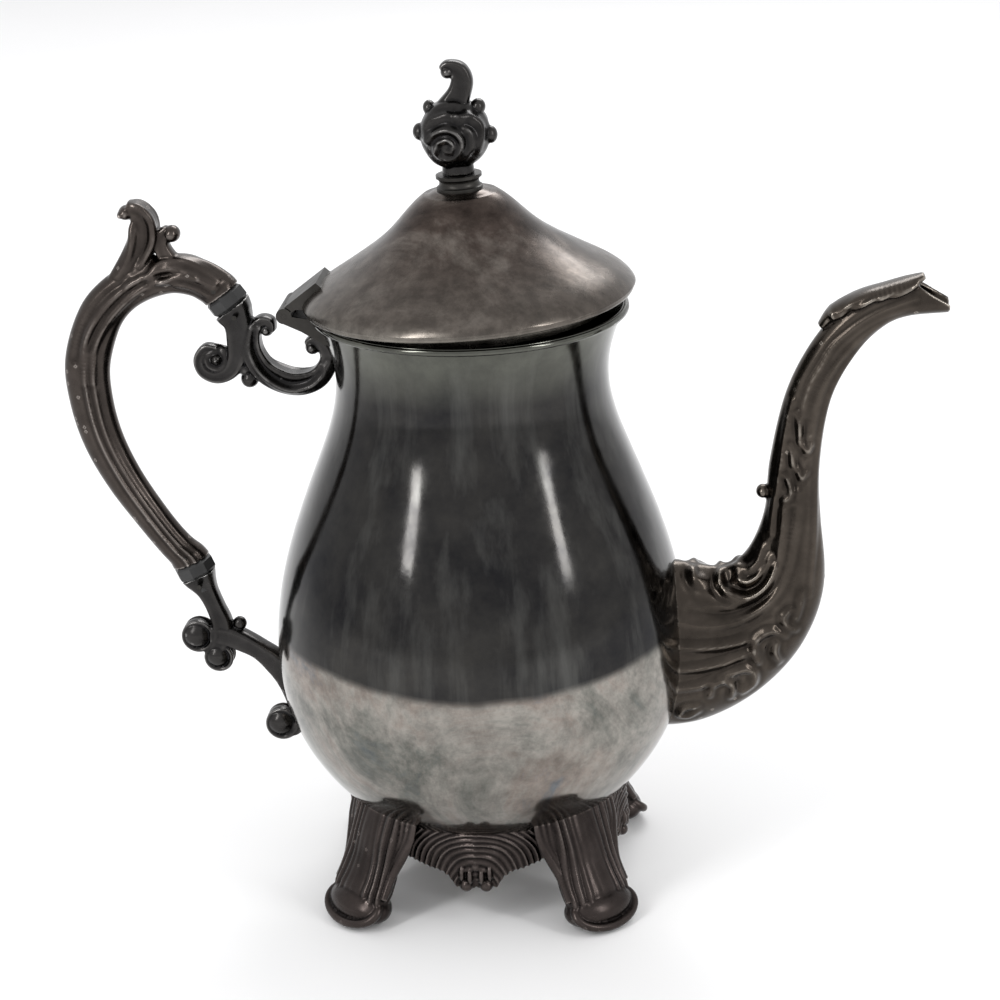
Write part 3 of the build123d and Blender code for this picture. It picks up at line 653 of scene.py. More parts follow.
SPOUT_STATIONS = [
    (50.0, 84.2, 0, 29.5, 16.5), (66.0, 84.5, 2, 29.2, 16.5), (76.0, 86.0, 8, 27.0, 15.6),
    (86.5, 90.6, 22, 22.9, 13.8), (96.0, 99.2, 42, 18.3, 11.6), (102.2, 112.0, 64, 14.0, 9.6),
    (104.2, 130.0, 84, 9.4, 8.0), (105.0, 149.0, 86, 8.2, 7.1), (109.6, 172.0, 72, 7.3, 6.6),
    (118.6, 189.2, 54, 6.9, 6.4), (128.5, 199.0, 34, 6.3, 6.4), (139.0, 203.6, 12, 5.8, 6.6),
    (154.4, 204.4, -8, 5.2, 6.2),
]
SPOUT_STROKES = [
    # the bands that sweep from the root up the neck
    (1.3, 0.9, [(72, 114), (72.3, 110), (75.3, 106), (80.6, 103), (86, 102.6), (91.3, 104.3),
                (95.7, 107.6), (98.7, 112), (100.1, 118), (101.2, 125), (102, 133), (102.6, 140)]),
    (0.9, -0.8, [(71, 101), (78, 99.6), (86, 100.4), (92, 102.6), (97.4, 106.6), (101, 113),
                 (103, 122), (104, 134)]),
    (1.0, 0.8, [(66, 98.2), (73.8, 96.2), (80, 96), (86, 97), (92, 99.6), (96.7, 103.6), (100, 109),
                (102.7, 116), (104.6, 125), (105.9, 133), (106.3, 140)]),
    (0.9, 0.75, [(65, 89.4), (73.8, 88.5), (81.2, 88.7), (88, 89.7), (92, 90.8)]),
    (1.2, -0.6, [(65, 92.8), (74, 92), (82, 92.2), (90, 94.4), (97, 98.6)]),
    (0.9, 0.75, [(64, 80.6), (74.4, 81.2), (81.2, 82.7), (87.2, 84.9), (91.3, 86.4)]),
    (1.2, -0.6, [(64, 84.9), (74, 84.9), (82, 85.8), (89, 87.6)]),
    (0.9, 0.75, [(63, 73), (73, 74.4), (77.7, 76.2), (81.1, 77.5)]),
    (1.2, -0.6, [(63, 77), (72, 77.8), (80, 79.6)]),
    # the scroll and its leaf on top of the root
    (1.0, 1.1, [(73.6, 115), (71.3, 113.6), (71.9, 110), (76, 109.4)]),
    (1.0, 1.3, [(87, 112), (84.4, 113.4), (81.0, 112), (80.3, 108.6), (82.4, 106), (86, 105.6)]),
    (1.1, -1.2, [(83.2, 110), (83.6, 109.6)]),
    (1.0, 1.2, [(82.6, 106.4), (85.3, 104.6), (90, 104.8), (94, 107.2), (96.7, 110.8), (98, 114.4)]),
    (0.8, 1.0, [(86, 110), (89.3, 109.3), (92.7, 110.8), (95.4, 114.4), (96.7, 118)]),
    (0.8, -0.8, [(86, 107.6), (90, 107.1), (94, 109.8), (96.4, 114.6)]),
    (0.8, 0.8, [(86, 113.6), (90, 113.2), (93, 116), (94.4, 121)]),
    # the scrolls under the bend
    (0.9, 1.2, [(92.6, 82), (91.6, 87.5), (93.7, 91.4), (97.7, 93), (102, 91)]),
    (0.9, 1.1, [(103.6, 100), (101.5, 97.7), (102.2, 94.6), (105, 92.6)]),
    (0.9, 1.2, [(81.4, 77), (84.8, 79), (88.8, 79.9), (91.6, 77.9), (91.2, 73.5), (87.9, 70.5)]),
    (0.8, 1.1, [(77, 70.5), (78, 74.1), (81.8, 75.6), (84.6, 73.4), (84, 69)]),
    (0.8, 1.0, [(72.5, 66.2), (68.6, 65.6), (66.8, 62.6), (69.4, 61.6), (72.8, 64)]),
    (1.0, -0.9, [(87, 76), (86, 73.6)]),
    (1.0, -0.9, [(97, 88.6), (96, 85), (97, 81)]),
    (0.8, 0.8, [(99, 89), (98.4, 85.4), (100, 81)]),
    (0.8, 0.7, [(105, 96), (106.4, 100), (107.6, 106)]),
    # curls and ridges of the neck
    (0.7, 0.9, [(103.4, 156), (104.4, 150.2), (105.9, 147.2), (107.2, 145.2), (108.6, 146.6)]),
    (0.7, 0.9, [(105.6, 167), (106.4, 161), (106.9, 157), (108.9, 154.3), (110.2, 156)]),
    (0.6, 0.8, [(101.6, 146), (103.6, 142), (103.3, 138.5), (101, 137.3)]),
    (0.8, -0.5, [(105.2, 142), (105.6, 148), (107.6, 156), (108.6, 164)]),
    (0.7, 0.6, [(97, 125.7), (97.7, 134.3), (99.3, 142), (100.7, 151), (102, 161), (104, 171)]),
    (0.6, 0.6, [(106.7, 160), (107.1, 165.5), (107.9, 171), (110, 177.3), (113, 182.7), (116.8, 189),
                (121, 193.3), (126, 197.3), (132, 200.8), (137.4, 203), (143, 205)]),
    (0.7, -0.5, [(109.4, 161), (110.4, 170), (113.4, 178), (118.4, 185.6), (125, 192.4),
                 (133, 197.6), (141, 200.4)]),
    (0.6, 0.5, [(110, 104), (110.7, 113), (111.5, 123), (111.9, 134), (112.2, 144), (113, 155),
                (114.4, 164), (116.4, 172.4), (119.6, 179.6), (124, 186), (129, 191), (134.4, 194.6),
                (141, 197.4)]),
]
HOOD_STATIONS = [
    (113.2, 194.6, 1.4, 2.6), (117.5, 199.6, 2.2, 5.4), (126.0, 203.8, 2.5, 7.0),
    (134.0, 206.3, 2.5, 7.3), (141.0, 208.8, 2.1, 6.4), (146.0, 211.2, 1.0, 2.6),
]
HOOD_STROKES = [
    (0.6, 0.7, [(116.3, 200.5), (117.6, 198.4), (120.9, 200), (122.6, 199.1), (125.2, 198.8),
                (130.2, 201.3), (134, 202.6), (140.3, 204.2), (145.7, 207.4)]),
    (0.6, -0.6, [(120.9, 199.8), (123.5, 202.6), (128.9, 206), (142.3, 210.4)]),
    (0.5, -0.5, [(125.2, 199.4), (127.7, 202.2), (131, 205)]),
    (0.5, 0.6, [(134, 202.8), (136.1, 205.2), (140.2, 207.6), (143.6, 209)]),
]
SPOUT_FLUTE = 0.8
MOUTH_POINT = np.array([150.2, 0, 205.0])
MOUTH_WAY = np.array([0.52, 0, 0.85]) / math.hypot(0.52, 0.85)


def spout_limits(grid):
    """Positive between the middle of the body's wall and the slanting plane of the spout's mouth."""
    root = np.hypot(grid[..., 0], grid[..., 1]) - body_radius(grid[..., 2]) + BODY_WALL / 2
    return np.minimum(root, -(grid - MOUTH_POINT) @ MOUTH_WAY)


def make_spout():
    """The hollow spout with its carving, the hood leaf over its mouth and two nubs."""
    outer = oval_grid(SPOUT_STATIONS, 420, 180, flute=SPOUT_FLUTE)
    outer = cut_columns(relief(outer, SPOUT_STROKES), spout_limits(outer))
    bore = [
        (x, z, angle, depth - SPOUT_WALL, width - SPOUT_WALL - SPOUT_FLUTE)
        for x, z, angle, depth, width in SPOUT_STATIONS
    ]
    inner = oval_grid(bore, 420, 180)
    inner = cut_columns(inner, spout_limits(inner))[::3]
    hood = relief(oval_grid(HOOD_STATIONS, 160, 120, angles=False), HOOD_STROKES)
    grids = [hood, ball_grid(94.6, 0, 138.4, 2.3, 3.0), ball_grid(112.8, 0, 108.6, 2.3, 3.0)]
    tube = shell_mesh(outer, inner)
    casting("spout_cast", grids, "spout", "pot", SPOUT_PLATE, 0.4, 3, tube)


# Handle

BOW_STATIONS = [
    (-80.4, 205.7, 125, 6.6, 6.4), (-83.2, 209.0, 135, 6.6, 6.2), (-89.0, 212.4, 156, 6.5, 5.8),
    (-97.5, 213.8, 176, 6.6, 5.6), (-107.5, 211.6, 204, 6.8, 5.5), (-116.4, 206.4, 224, 7.0, 5.4),
    (-123.0, 198.2, 240, 7.4, 5.4), (-127.9, 184.0, 262, 7.6, 5.4), (-127.8, 170.7, 275, 7.3, 5.3),
    (-124.8, 156.7, 286, 6.9, 5.2), (-118.5, 142.5, 299, 6.3, 5.1), (-109.5, 128.1, 303, 5.7, 5.2),
    (-103.3, 119.6, 300, 5.7, 5.4), (-99.4, 115.6, 294, 6.3, 6.1), (-97.3, 111.8, 292.5, 6.8, 6.5),
]
BOW_BANDS = [
    (0.05, 0.07, 0.5), (0.42, 0.07, 0.45), (0.24, 0.1, -0.45), (-0.14, 0.09, -0.35), (0.68, 0.1, -0.3),
]
BANDS_START = 0.47
BOW_STROKES = [
    (0.8, 0.6, [(-128.5, 178), (-127.3, 188.8), (-125, 195.5), (-120, 202), (-115, 207),
                (-109.3, 211.3), (-105.7, 213.5)]),
    (0.7, 0.55, [(-125.9, 178), (-124.6, 187.4), (-122, 194), (-117, 201), (-111.5, 206.5), (-106, 210.4),
                 (-101.4, 212.2), (-96.3, 211.8), (-90.3, 210.6), (-85, 208)]),
    (0.8, -0.6, [(-126, 190), (-121, 199.6), (-113.5, 207), (-107, 211.6), (-102, 213)]),
    (0.8, -0.5, [(-131, 186), (-127, 198), (-119.6, 207.4), (-111.6, 213)]),
    (0.9, 0.9, [(-103.5, 213.5), (-101.2, 215.7), (-97.7, 216.6), (-93.4, 216), (-88, 214.2),
                (-82.5, 211.4)]),
    (0.8, 0.8, [(-103.5, 213.3), (-99.7, 212.6), (-95.7, 214), (-91.8, 214.4), (-87.6, 213),
                (-83, 210.6)]),
    (0.6, -0.8, [(-101, 214.2), (-97.6, 214.8), (-94, 215.2), (-89, 213.8)]),
    (0.9, 0.9, [(-111, 211.3), (-105.7, 213.5), (-101, 218), (-97, 219), (-91.5, 218.4),
                (-86.5, 216), (-81.6, 212.6)]),
]
THUMB_STATIONS = [
    (-114.5, 210.0, 5.0, 4.6), (-109.0, 219.0, 4.9, 4.4), (-105.9, 226.0, 4.7, 4.3),
    (-105.4, 231.4, 4.2, 4.2), (-107.2, 235.0, 3.1, 4.1), (-110.6, 236.2, 2.2, 3.8),
]
THUMB_STROKES = [
    (0.8, 0.8, [(-107, 217), (-102.9, 223.7), (-102, 228), (-102.5, 232.4), (-105, 236), (-108, 237.4)]),
    (0.8, 0.7, [(-114.5, 214), (-110.6, 220), (-108.9, 226), (-109.4, 230.6), (-112.4, 233.6)]),
    (1.6, -1.0, [(-107.6, 219), (-105.4, 225), (-105.2, 229.6), (-106.8, 232.4)]),
]
CURL_STATIONS = [
    (-90.0, 211.0, 3.2, 3.6), (-96.6, 217.0, 3.1, 3.6), (-99.7, 222.4, 2.6, 3.4),
    (-99.4, 226.8, 2.1, 3.2), (-97.4, 228.6, 1.6, 3.0),
]
LEAF_STATIONS = [
    (-99.5, 217.5, 2.4, 3.2), (-92.0, 216.0, 3.6, 4.4), (-84.0, 211.8, 3.8, 5.4), (-78.5, 206.5, 3.6, 5.8),
]
LEAF_STROKES = BOW_STROKES[4:]
# Each heat break's middle, x and z, and the angle of its axis; half its length; how far it reaches
UPPER_BREAK = (-79.7, 204.7, -55.0)
LOWER_BREAK = (-97.0, 111.0, -67.5)
BREAK_HALF = 2.7
BREAK_REACH = 14
SEAM = 0.02


def beside_break(grid, place, way):
    """The grid pressed flat where it would pass the face of a heat break on its own side."""
    x, z, angle = place
    along = np.array([math.cos(math.radians(angle)), 0, math.sin(math.radians(angle))]) * way
    past = (grid - np.array([x, 0, z])) @ along + BREAK_HALF + SEAM
    near = np.hypot(grid[..., 0] - x, grid[..., 2] - z) < BREAK_REACH
    return grid - np.maximum(past, 0)[..., None] * near[..., None] * along


def make_grip():
    """The grip: its bow, the thumb scroll, the second curl and the leaf behind it."""
    bow = relief(banded(oval_grid(BOW_STATIONS, 420, 128), BOW_BANDS, BANDS_START), BOW_STROKES)
    thumb = relief(ribbon_grid(THUMB_STATIONS, groove=0.1), THUMB_STROKES)
    curl = ribbon_grid(CURL_STATIONS)
    leaf = relief(ribbon_grid(LEAF_STATIONS, groove=0.0), LEAF_STROKES)
    grids = [beside_break(grid, UPPER_BREAK, 1) for grid in (bow, curl, leaf)]
    grids = [beside_break(grid, LOWER_BREAK, 1) for grid in grids]
    grids += [thumb, ball_grid(-111.0, 0, 234.4, 2.4, 4.4), ball_grid(-96.4, 0, 227.2, 2.8, 3.8)]
    grids += [ball_grid(-104.6, 0, 216.0, 1.8, 4.6), ball_grid(-112.4, 0, 234.0, 1.3, 4.9)]
    casting("grip_cast", grids, "handle_grip", "pot", GRIP_PLATE, 0.38, 3)


# Brackets

STEM_STATIONS = [
    (-79.2, 204.0, 6.5, 6.3), (-77.6, 200.6, 6.0, 5.9), (-76.4, 196.5, 4.7, 4.8),
    (-76.6, 191.0, 4.0, 4.2), (-77.4, 185.5, 3.4, 4.0), (-80.0, 180.9, 2.8, 3.8),
    (-84.6, 178.9, 2.3, 3.6), (-89.0, 180.7, 2.0, 3.4), (-90.3, 184.9, 1.8, 3.2),
    (-87.8, 188.4, 1.6, 3.0), (-84.0, 188.0, 1.4, 2.8),
]
SCROLL_STATIONS = [
    (-65.4, 194.4, 1.4, 3.4), (-65.8, 197.4, 1.6, 3.6), (-69.2, 197.6, 1.9, 3.9),
    (-72.0, 193.0, 2.8, 4.2), (-72.2, 187.0, 3.6, 4.4), (-69.0, 181.2, 3.9, 4.6),
    (-63.0, 177.4, 4.0, 4.8), (-56.5, 176.4, 3.9, 4.8), (-50.6, 178.6, 3.5, 4.6),
    (-47.4, 183.5, 3.0, 4.2), (-48.0, 188.6, 2.3, 3.8), (-51.4, 191.4, 1.7, 3.5),
    (-54.0, 189.8, 1.4, 3.3),
]
SCROLL_STROKES = [
    (0.7, 0.7, [(-71.6, 195.8), (-72.6, 189.6), (-71.6, 185), (-68.8, 180.4), (-64, 176.6),
                (-59, 175), (-53.6, 176), (-49.4, 179.4), (-46.8, 184)]),
    (0.7, 0.7, [(-69, 196), (-69.2, 190.6), (-67.2, 186), (-63, 181.6), (-58, 179.8), (-54, 180.6),
                (-51.2, 183.6)]),
    (0.9, -0.9, [(-70.4, 194), (-71, 189.6), (-69.4, 184.6), (-66, 180.4), (-60.6, 177.4),
                 (-54.6, 178.2), (-50.4, 181)]),
]


# The beads of the upper bracket: x, z, radius and half width
UPPER_EYES = [
    (-84.2, 185.0, 2.5, 4.4), (-67.0, 194.8, 2.2, 4.0), (-52.2, 188.8, 2.5, 4.2), (-73.8, 177.9, 3.0, 3.6),
]
WEB_STROKES = [
    (0.8, 0.9, [(-81.5, 188), (-81, 184.6), (-83.4, 181.8), (-86.8, 182.8), (-87.6, 186), (-85, 187.6)]),
]


def make_upper_bracket():
    """The bracket at the neck: a stem that ends in a filled volute, and the big scroll beside it."""
    stem = beside_break(ribbon_grid(STEM_STATIONS, 220, 64, 0.24), UPPER_BREAK, -1)
    scroll = relief(ribbon_grid(SCROLL_STATIONS, 260, 72, 0.1), SCROLL_STROKES)
    grids = [stem, scroll] + [ball_grid(x, 0, z, radius, width) for x, z, radius, width in UPPER_EYES]
    web = relief(ball_grid(-84.4, 0, 184.4, 5.6, 2.7, 5.6, 60, 90), WEB_STROKES)
    grids += [web, ball_grid(-84.2, 0, 185.0, 1.0, 5.0), ball_grid(-75.0, 0, 181.4, 2.4, 3.2)]
    casting("upper_bracket_cast", grids, "upper_bracket", "pot", DARK_CASTING, 0.34, 2)


LOWER_STEM_STATIONS = [
    (-96.8, 110.5, 6.7, 6.5), (-95.4, 107.2, 5.4, 5.3), (-93.2, 102.5, 3.5, 4.0),
    (-90.8, 96.5, 3.1, 3.8), (-89.0, 90.5, 3.5, 4.0), (-89.8, 84.5, 3.2, 4.0), (-92.5, 80.5, 2.6, 3.6),
]
REACH_STATIONS = [
    (-93.0, 87.0, 3.4, 3.8), (-87.5, 86.5, 3.8, 4.2), (-82.0, 84.2, 3.6, 4.2), (-76.5, 81.0, 3.3, 4.3),
    (-71.0, 76.0, 4.0, 4.5), (-68.0, 69.5, 2.9, 4.4), (-65.8, 62.5, 2.4, 4.2), (-63.8, 55.8, 2.4, 3.8),
    (-65.9, 51.6, 2.0, 3.4), (-69.3, 51.4, 1.7, 3.2),
]
# The rimmed balls of the lower bracket: x, z, radius and half width
LOWER_BALLS = [(-97.9, 86.9, 5.0, 5.0), (-91.2, 79.2, 4.4, 4.6), (-70.7, 54.6, 5.1, 5.0)]
BALL_RIM = 0.7


def make_lower_bracket():
    """The bracket at the belly: a stem under the grip, a reach to the body and three rimmed balls."""
    stem = ribbon_grid(LOWER_STEM_STATIONS, 160, 64, 0.2)
    reach = ribbon_grid(REACH_STATIONS, 220, 64, 0.18)
    grids = [beside_break(stem, LOWER_BREAK, -1), reach]
    for x, z, radius, width in LOWER_BALLS:
        grids.append(ball_grid(x, 0, z, radius, width))
        for side in (-1, 1):
            middle = (x + 0.6, side * 2.4, z - 0.4)
            grids.append(ring_grid(middle, (1, 0, 0), (0, 0, 1), radius, radius, BALL_RIM))
    grids.append(ball_grid(-83.0, 0, 90.6, 2.4))
    casting("lower_bracket_cast", grids, "lower_bracket", "pot", DARK_CASTING, 0.34, 2)


# Finial

KNOB_STROKES = [
    (0.8, 1.2, [(-8.2, 255.4), (-6.2, 258), (-2.2, 259.4), (1.4, 258.4), (3, 255.6), (2, 252),
                (-1.3, 250), (-5.1, 251), (-6, 253.7)]),
    (0.6, 1.0, [(-5.4, 252.6), (-4.4, 255.6), (-1.4, 256.6), (0.4, 254.8), (-0.4, 252.6),
                (-2.4, 252.4)]),
    (0.9, 1.0, [(-11, 257), (-9.5, 261.2), (-6.4, 264.6), (-2.7, 266.6), (2, 267)]),
    (0.7, 1.0, [(-9, 256), (-7.8, 260.6), (-4.8, 263), (-0.7, 264), (3.8, 262)]),
    (0.8, 1.1, [(2.3, 263.6), (5.5, 262.9), (8.6, 260.3), (9, 256.6), (7.6, 252)]),
    (0.7, 0.9, [(4.6, 259.6), (6.4, 257.4), (6, 253.6), (3.6, 250.4), (0, 248)]),
    (0.8, 0.8, [(-8.4, 252), (-6.4, 248.6), (-2.4, 246.8)]),
]


HORN_STATIONS = [
    (-4.5, 258.8, 6.2, 5.0), (-0.5, 264.4, 4.9, 4.5), (2.4, 269.2, 3.8, 3.9), (3.6, 273.2, 3.5, 3.6),
    (2.6, 276.5, 2.9, 3.4), (-0.6, 277.8, 2.1, 3.2), (-2.4, 276.8, 1.5, 3.0),
]
NECK_LINE = [
    (0.01, 237.5), (2.0, 237.5), (2.0, 243.6), (5.2, 243.7), (5.0, 246.5), (5.6, 248.5), (0.01, 249),
]
STUD_LINE = [(0.01, 233.0), (1.6, 233.0), (2.0, 233.4), (2.0, 244.0), (0.01, 244.0)]
# The leaf buds round the knob: x, z and half sizes along x, across and along z
BUDS = [
    (-11.2, 257.6, 2.3, 3.4, 2.8), (11.3, 255.4, 2.2, 3.0, 2.8), (8.0, 264.6, 2.4, 3.2, 2.6),
    (-7.6, 265.2, 2.0, 3.0, 2.4),
]


def make_finial():
    """The carved knob with its horn and buds, on a neck with a stud through the lid."""
    round_r = KNOB_R - 0.3
    knob = relief(ball_grid(0, 0, KNOB_Z, round_r, KNOB_R - 0.8, round_r, 120, 160), KNOB_STROKES)
    horn = ribbon_grid(HORN_STATIONS, 140, 64, 0.2)
    neck = lathe_grid(NECK_LINE, 48)
    stud = lathe_grid(STUD_LINE, 40)
    grids = [knob, horn, neck, stud, ball_grid(-0.8, 0, 276.2, 2.2, 3.6)]
    grids += [ball_grid(x, 0, z, along, across, up) for x, z, along, across, up in BUDS]
    grids = [lifted(grid) for grid in grids]
    casting("finial_cast", grids, "finial", "lid", DARK_CASTING, 0.3, 1)


# Foot mount

APRON_BOTTOM_Z = 15.0
SIDE_DEG = 13.5
SHIN_STATIONS = [
    (45.4, 41.0, -60, 1.6, 11.2), (46.6, 35.0, -66, 3.2, 11.8), (48.4, 28.0, -76, 4.3, 12.2),
    (50.4, 21.0, -72, 4.6, 12.8), (53.2, 14.5, -58, 5.0, 13.0), (56.0, 10.0, -50, 5.2, 12.6),
    (58.0, 7.2, -45, 4.4, 11.6),
]
SHIN_COVER_Z = 30
FOLD_PITCH = 2.7
FOLD_DEPTH = 0.5
STRANDS = 5
STRAND_RADII = (0.9, 1.3, 1.6, 1.5, 1.2)
TOE_PLACE = (56.5, 0, 6.0)
TOE_HALF_SIZES = (8.2, 13.4, 6.4)
TOE_TILT = math.radians(52)
RIM_PLACE = (59.6, 0, 6.6)
RIM_HALF_SIZES = (12.2, 7.0)
RIM_R = 1.5
LOBES = 7
LOBE_PLACE = (61.2, 0, 7.8)
LOBE_HALF_SIZES = (1.7, 1.25, 1.9)
LOBE_SPREAD = (9.4, 4.2)


def folded(grid):
    """Drapes soft vertical folds over a leg, deepest towards its two sides."""
    across = np.abs(grid[..., 1])
    share = np.clip((across - 2.5) / 6.0, 0.08, 1)
    sway = np.sin(grid[..., 2] / 5.5 + grid[..., 1] * 0.4) + 0.12 * (grid[..., 2] - 20)
    wave = np.cos(2 * math.pi * across / FOLD_PITCH + sway)
    return grid + grid_normals(grid) * (FOLD_DEPTH * share * wave)[..., None]


def strand_grid(points, radii, count=60, around=20):
    """A tapering strand through points, each a radius, an angle in degrees and a height."""
    table = smooth_table([(*point, radius) for point, radius in zip(points, radii)], count)
    angle = np.radians(table[:, 1])
    line = np.stack([table[:, 0] * np.cos(angle), table[:, 0] * np.sin(angle), table[:, 2]], axis=1)
    out = np.stack([np.cos(angle), np.sin(angle), 0 * angle], axis=1)
    way = np.gradient(line, axis=0)
    way /= np.linalg.norm(way, axis=1, keepdims=True)
    side = np.cross(way, out)
    side /= np.linalg.norm(side, axis=1, keepdims=True)
    lift = np.cross(side, way)
    turn = np.linspace(0, 2 * math.pi, around, endpoint=False)[None, :, None]
    ring = np.cos(turn) * side[:, None] + np.sin(turn) * lift[:, None]
    return line[:, None] + table[:, 3, None, None] * ring


def drape(side):
    """Leaf strands on one side of a foot, from over the apron's end down to the toe."""
    strands = []
    for k in range(STRANDS):
        spread = 1 - k / STRANDS
        points = [
            (47.6, side * (7 + 13 * spread), 37.0), (49.0, side * (7 + 12 * spread), 31.0 - k),
            (50.6, side * (6 + 10 * spread), 25.0 - k), (53.4, side * (5 + 8 * spread), 18.0 - k),
            (57.6, side * (4 + 8.4 * spread), 11.0),
        ]
        strands.append(strand_grid(points, STRAND_RADII))
    return strands


def foot_grids():
    """The parts of a foot that stands out along x: shin, strands, toe pad, its rim and its lobes."""
    shin = folded(oval_grid(SHIN_STATIONS, 200, 220))
    wall = body_radius(np.maximum(shin[..., 2], BASE_Z)) - BODY_WALL / 2
    away = np.hypot(shin[..., 0], shin[..., 1]) - wall
    shin[..., 0] += np.where(shin[..., 2] > SHIN_COVER_Z, np.maximum(-away, 0), 0)
    for side in (-1, 1):
        way = math.radians(90 - SIDE_DEG)
        past = side * shin[..., 1] * math.sin(way) - shin[..., 0] * math.cos(way) + SEAM
        past = np.maximum(past, 0) * np.clip((shin[..., 2] - APRON_BOTTOM_Z + 2) / 2, 0, 1)
        shin[..., 1] -= side * past
    toe = ball_grid(*TOE_PLACE, *TOE_HALF_SIZES, 60, 90)
    upward = (-math.sin(TOE_TILT), 0, math.cos(TOE_TILT))
    rim = ring_grid(RIM_PLACE, (0, 1, 0), upward, *RIM_HALF_SIZES, RIM_R, 96, 24)
    grids = [shin, toe, rim] + drape(-1) + drape(1)
    for k in range(LOBES):
        t = math.radians(36 + 18 * k)
        spot = np.array(LOBE_PLACE) + np.array(upward) * LOBE_SPREAD[1] * math.sin(t)
        lobe = ball_grid(spot[0], 0, spot[2], *LOBE_HALF_SIZES, 14, 24)
        grids.append(shifted(lobe, LOBE_SPREAD[0] * math.cos(t)))
    for grid in grids:
        grid[..., 2] = np.maximum(grid[..., 2], 0.0)
    return grids


def make_foot(name, angle):
    """One foot, turned about the axis to its corner."""
    grids = [turned(grid, angle) for grid in foot_grids()]
    casting(name + "_cast", grids, name, "pot", FOOT_CASTING, 0.38, 2)


APRON_R = 46.0
APRON_BELLY = 2.0
APRON_TOP_Z = 38.0
APRON_WALL = 2.2
APRON_HALF = math.radians(31.5)
SCOOP_R = 8.0
SCOOP_SPREAD = 15.0
SCOOP_TOP_Z = 21.0
HEM_RISE = 0.25
HEM_SCALLOP = 0.35
FLUTE_PITCH = 1.9
FLUTE_DEPTH = 0.40
COVE_DEPTH = 1.8
END_SMOOTH = 0.05


def apron_grids():
    """A fluted apron: rows across it, and each row a closed loop up its face and down its back."""
    phi = np.linspace(-APRON_HALF, APRON_HALF, 240)[:, None]
    s = APRON_R * phi
    scoop = SCOOP_TOP_Z - SCOOP_R + np.sqrt(np.maximum(SCOOP_R**2 - (np.abs(s) - SCOOP_SPREAD) ** 2, 0))
    beyond = SCOOP_TOP_Z + HEM_RISE * (np.abs(s) - SCOOP_SPREAD)
    bottom = np.where(np.abs(s) > SCOOP_SPREAD, beyond, np.maximum(scoop, APRON_BOTTOM_Z))
    bottom = bottom + HEM_SCALLOP * np.cos(2 * math.pi * np.abs(s) / FLUTE_PITCH)
    top = np.interp(APRON_R + 0.8, OUTER_LINE[:, 0], OUTER_LINE[:, 1]) + 0.3 + 0 * s
    t = np.linspace(0, 1, 90)[None, :]
    z = bottom + (top - bottom) * t
    level = (z - APRON_BOTTOM_Z) / (APRON_TOP_Z - APRON_BOTTOM_Z)
    bulge = APRON_BELLY * 4 * level * (1 - level)
    away = np.hypot(s + 0 * t, 0.95 * (z - APRON_BOTTOM_Z)) + 0.5 * np.sin(z / 2.6)
    flute = FLUTE_DEPTH * np.cos(2 * math.pi * away / FLUTE_PITCH) * np.clip((away - 3) / 3, 0, 1)
    flute = flute * (0.75 + 0.25 * np.cos(math.pi * away / FLUTE_PITCH))
    edge = np.clip((1 - np.abs(phi) / APRON_HALF) / END_SMOOTH, 0, 1)
    cove = COVE_DEPTH * np.sin(math.pi * np.clip(level, 0, 1)) * np.clip(np.abs(s) / 8, 0, 1)
    face = APRON_R + bulge - cove + flute * edge
    back = APRON_R - APRON_WALL + 0.1 * bulge
    radius = np.concatenate([face, back[:, ::-1] + 0 * z], axis=1)
    height = np.concatenate([z, z[:, ::-1]], axis=1)
    apron = np.stack([radius * np.cos(phi), radius * np.sin(phi), height], axis=2)
    grids = [apron, ball_grid(APRON_R + 0.6, 0, 23.4, 1.7, 1.5, 1.9)]
    for side in (-1, 1):
        grids.append(ball_grid(APRON_R, side * 3.3, 16.0, 2.2))
        grids.append(ball_grid(APRON_R + 0.9, side * 1.9, 19.8, 1.7, 1.1, 2.9))
        grids.append(ball_grid(APRON_R + 0.5, side * 4.6, 20.6, 1.5, 1.0, 2.9))
    return grids


def make_apron(name, angle):
    """One apron, turned about the axis to its side."""
    grids = [turned(grid, angle) for grid in apron_grids()]
    casting(name + "_cast", grids, name, "pot", FOOT_CASTING, 0.34, 1)


make_spout()
make_grip()
make_upper_bracket()
make_lower_bracket()
make_finial()
for name, angle in (("back_right", 45), ("back_left", 135), ("front_left", 225), ("front_right", 315)):
    make_foot("foot_" + name, angle)
for name, angle in (("right", 0), ("back", 90), ("left", 180), ("front", 270)):
    make_apron("apron_" + name, angle)


# The CAD pieces that keep their shape and get their finish here

FINISHES = {
    "mouth_wire": BODY_PLATE, "lid_bezel": LID_PLATE, "upper_heat_break": BLACK_BREAK,
    "lower_heat_break": BLACK_BREAK, "handle_pins": HINGE_CASTING, "hinge_pin": HINGE_CASTING,
    "finial_washer": PLAIN_STEEL, "finial_nut": PLAIN_STEEL, "hinge_body_leaf": HINGE_CASTING,
    "hinge_lid_leaf": HINGE_CASTING, "finial_collar": HINGE_CASTING, "finial": DARK_CASTING,
    "spout": SPOUT_PLATE, "handle_grip": GRIP_PLATE, "upper_bracket": DARK_CASTING,
    "lower_bracket": DARK_CASTING,
}
for node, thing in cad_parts.items():
    finish = FINISHES.get(node, FOOT_CASTING)
    thing.data.materials.clear()
    thing.data.materials.append(finish)


# Floor, light and camera

FLOOR_HALF = 6.0
WORLD_COLOUR = (0.93, 0.93, 0.94, 1)
WORLD_STRENGTH = 0.95
# Each lamp: name, place, target, width and length, and power
LAMPS = [
    ("window", (-0.9, -1.1, 1.1), (0, 0, 0.13), (0.20, 1.2), 10),
    ("fill", (1.2, -0.7, 0.9), (0, 0, 0.12), (0.16, 1.0), 6),
    ("back", (0.2, 1.3, 1.2), (0, 0, 0.15), (0.9, 0.5), 9),
]
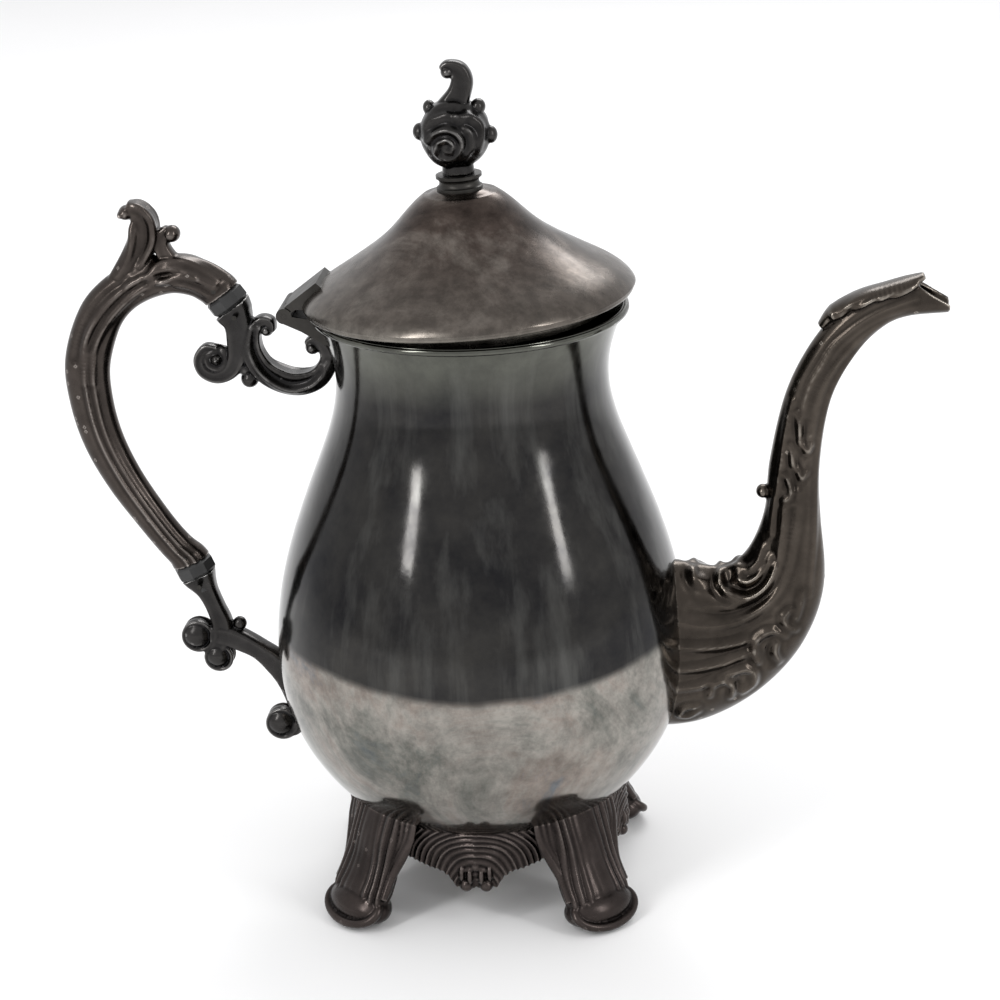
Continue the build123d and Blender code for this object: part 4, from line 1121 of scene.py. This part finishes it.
# Measured from the photo against the pot's outline; the place is in millimetres from the pot's axis
CAMERA_RIGHT = Vector((0.995152, 0.092470, -0.033493))
CAMERA_UP = Vector((0.000017, 0.340390, 0.940284))
CAMERA_BACK = Vector((0.098348, -0.935727, 0.338738))
CAMERA_PLACE = Vector((98.147 + AXIS_X, -861.427, 447.0))
CAMERA_LENS = 99.72
CAMERA_SENSOR = 36.0


def make_stage():
    """A pale floor under the pot."""
    floor_mesh = bpy.data.meshes.new("floor")
    corners = [(x * FLOOR_HALF, y * FLOOR_HALF, 0) for x, y in ((-1, -1), (1, -1), (1, 1), (-1, 1))]
    floor_mesh.from_pydata(corners, [], [(0, 1, 2, 3)])
    floor = bpy.data.objects.new("floor", floor_mesh)
    bpy.context.scene.collection.objects.link(floor)
    paint = Paint("pale_floor")
    tone = paint.ramp(paint.noise(3, 3), (0.3, 0.90), (0.7, 0.92))
    floor_mesh.materials.append(paint.finish(tone, 0.7, metallic=0.0))


def area_light(name, place, target, size, power):
    """A rectangular lamp that points at its target."""
    light = bpy.data.lights.new(name, "AREA")
    light.shape = "RECTANGLE"
    light.size, light.size_y = size
    light.energy = power
    lamp = bpy.data.objects.new(name, light)
    bpy.context.scene.collection.objects.link(lamp)
    lamp.location = place
    lamp.rotation_euler = (Vector(target) - Vector(place)).to_track_quat("-Z", "Y").to_euler()


def make_light():
    """Even pale light from all round, and three soft lamps."""
    world = bpy.data.worlds.new("studio")
    bpy.context.scene.world = world
    world.use_nodes = True
    background = world.node_tree.nodes["Background"]
    background.inputs["Color"].default_value = WORLD_COLOUR
    background.inputs["Strength"].default_value = WORLD_STRENGTH
    for lamp in LAMPS:
        area_light(*lamp)


def make_camera():
    """The camera at the photo's place and turn."""
    data = bpy.data.cameras.new("camera")
    data.sensor_width = CAMERA_SENSOR
    data.lens = CAMERA_LENS
    data.clip_start, data.clip_end = 0.05, 20
    camera = bpy.data.objects.new("camera", data)
    bpy.context.scene.collection.objects.link(camera)
    turn = Matrix((CAMERA_RIGHT, CAMERA_UP, CAMERA_BACK)).transposed().to_4x4()
    camera.matrix_world = Matrix.Translation(CAMERA_PLACE * MM) @ turn
    bpy.context.scene.camera = camera


make_stage()
make_light()
make_camera()
bpy.context.scene.view_settings.view_transform = "Standard"
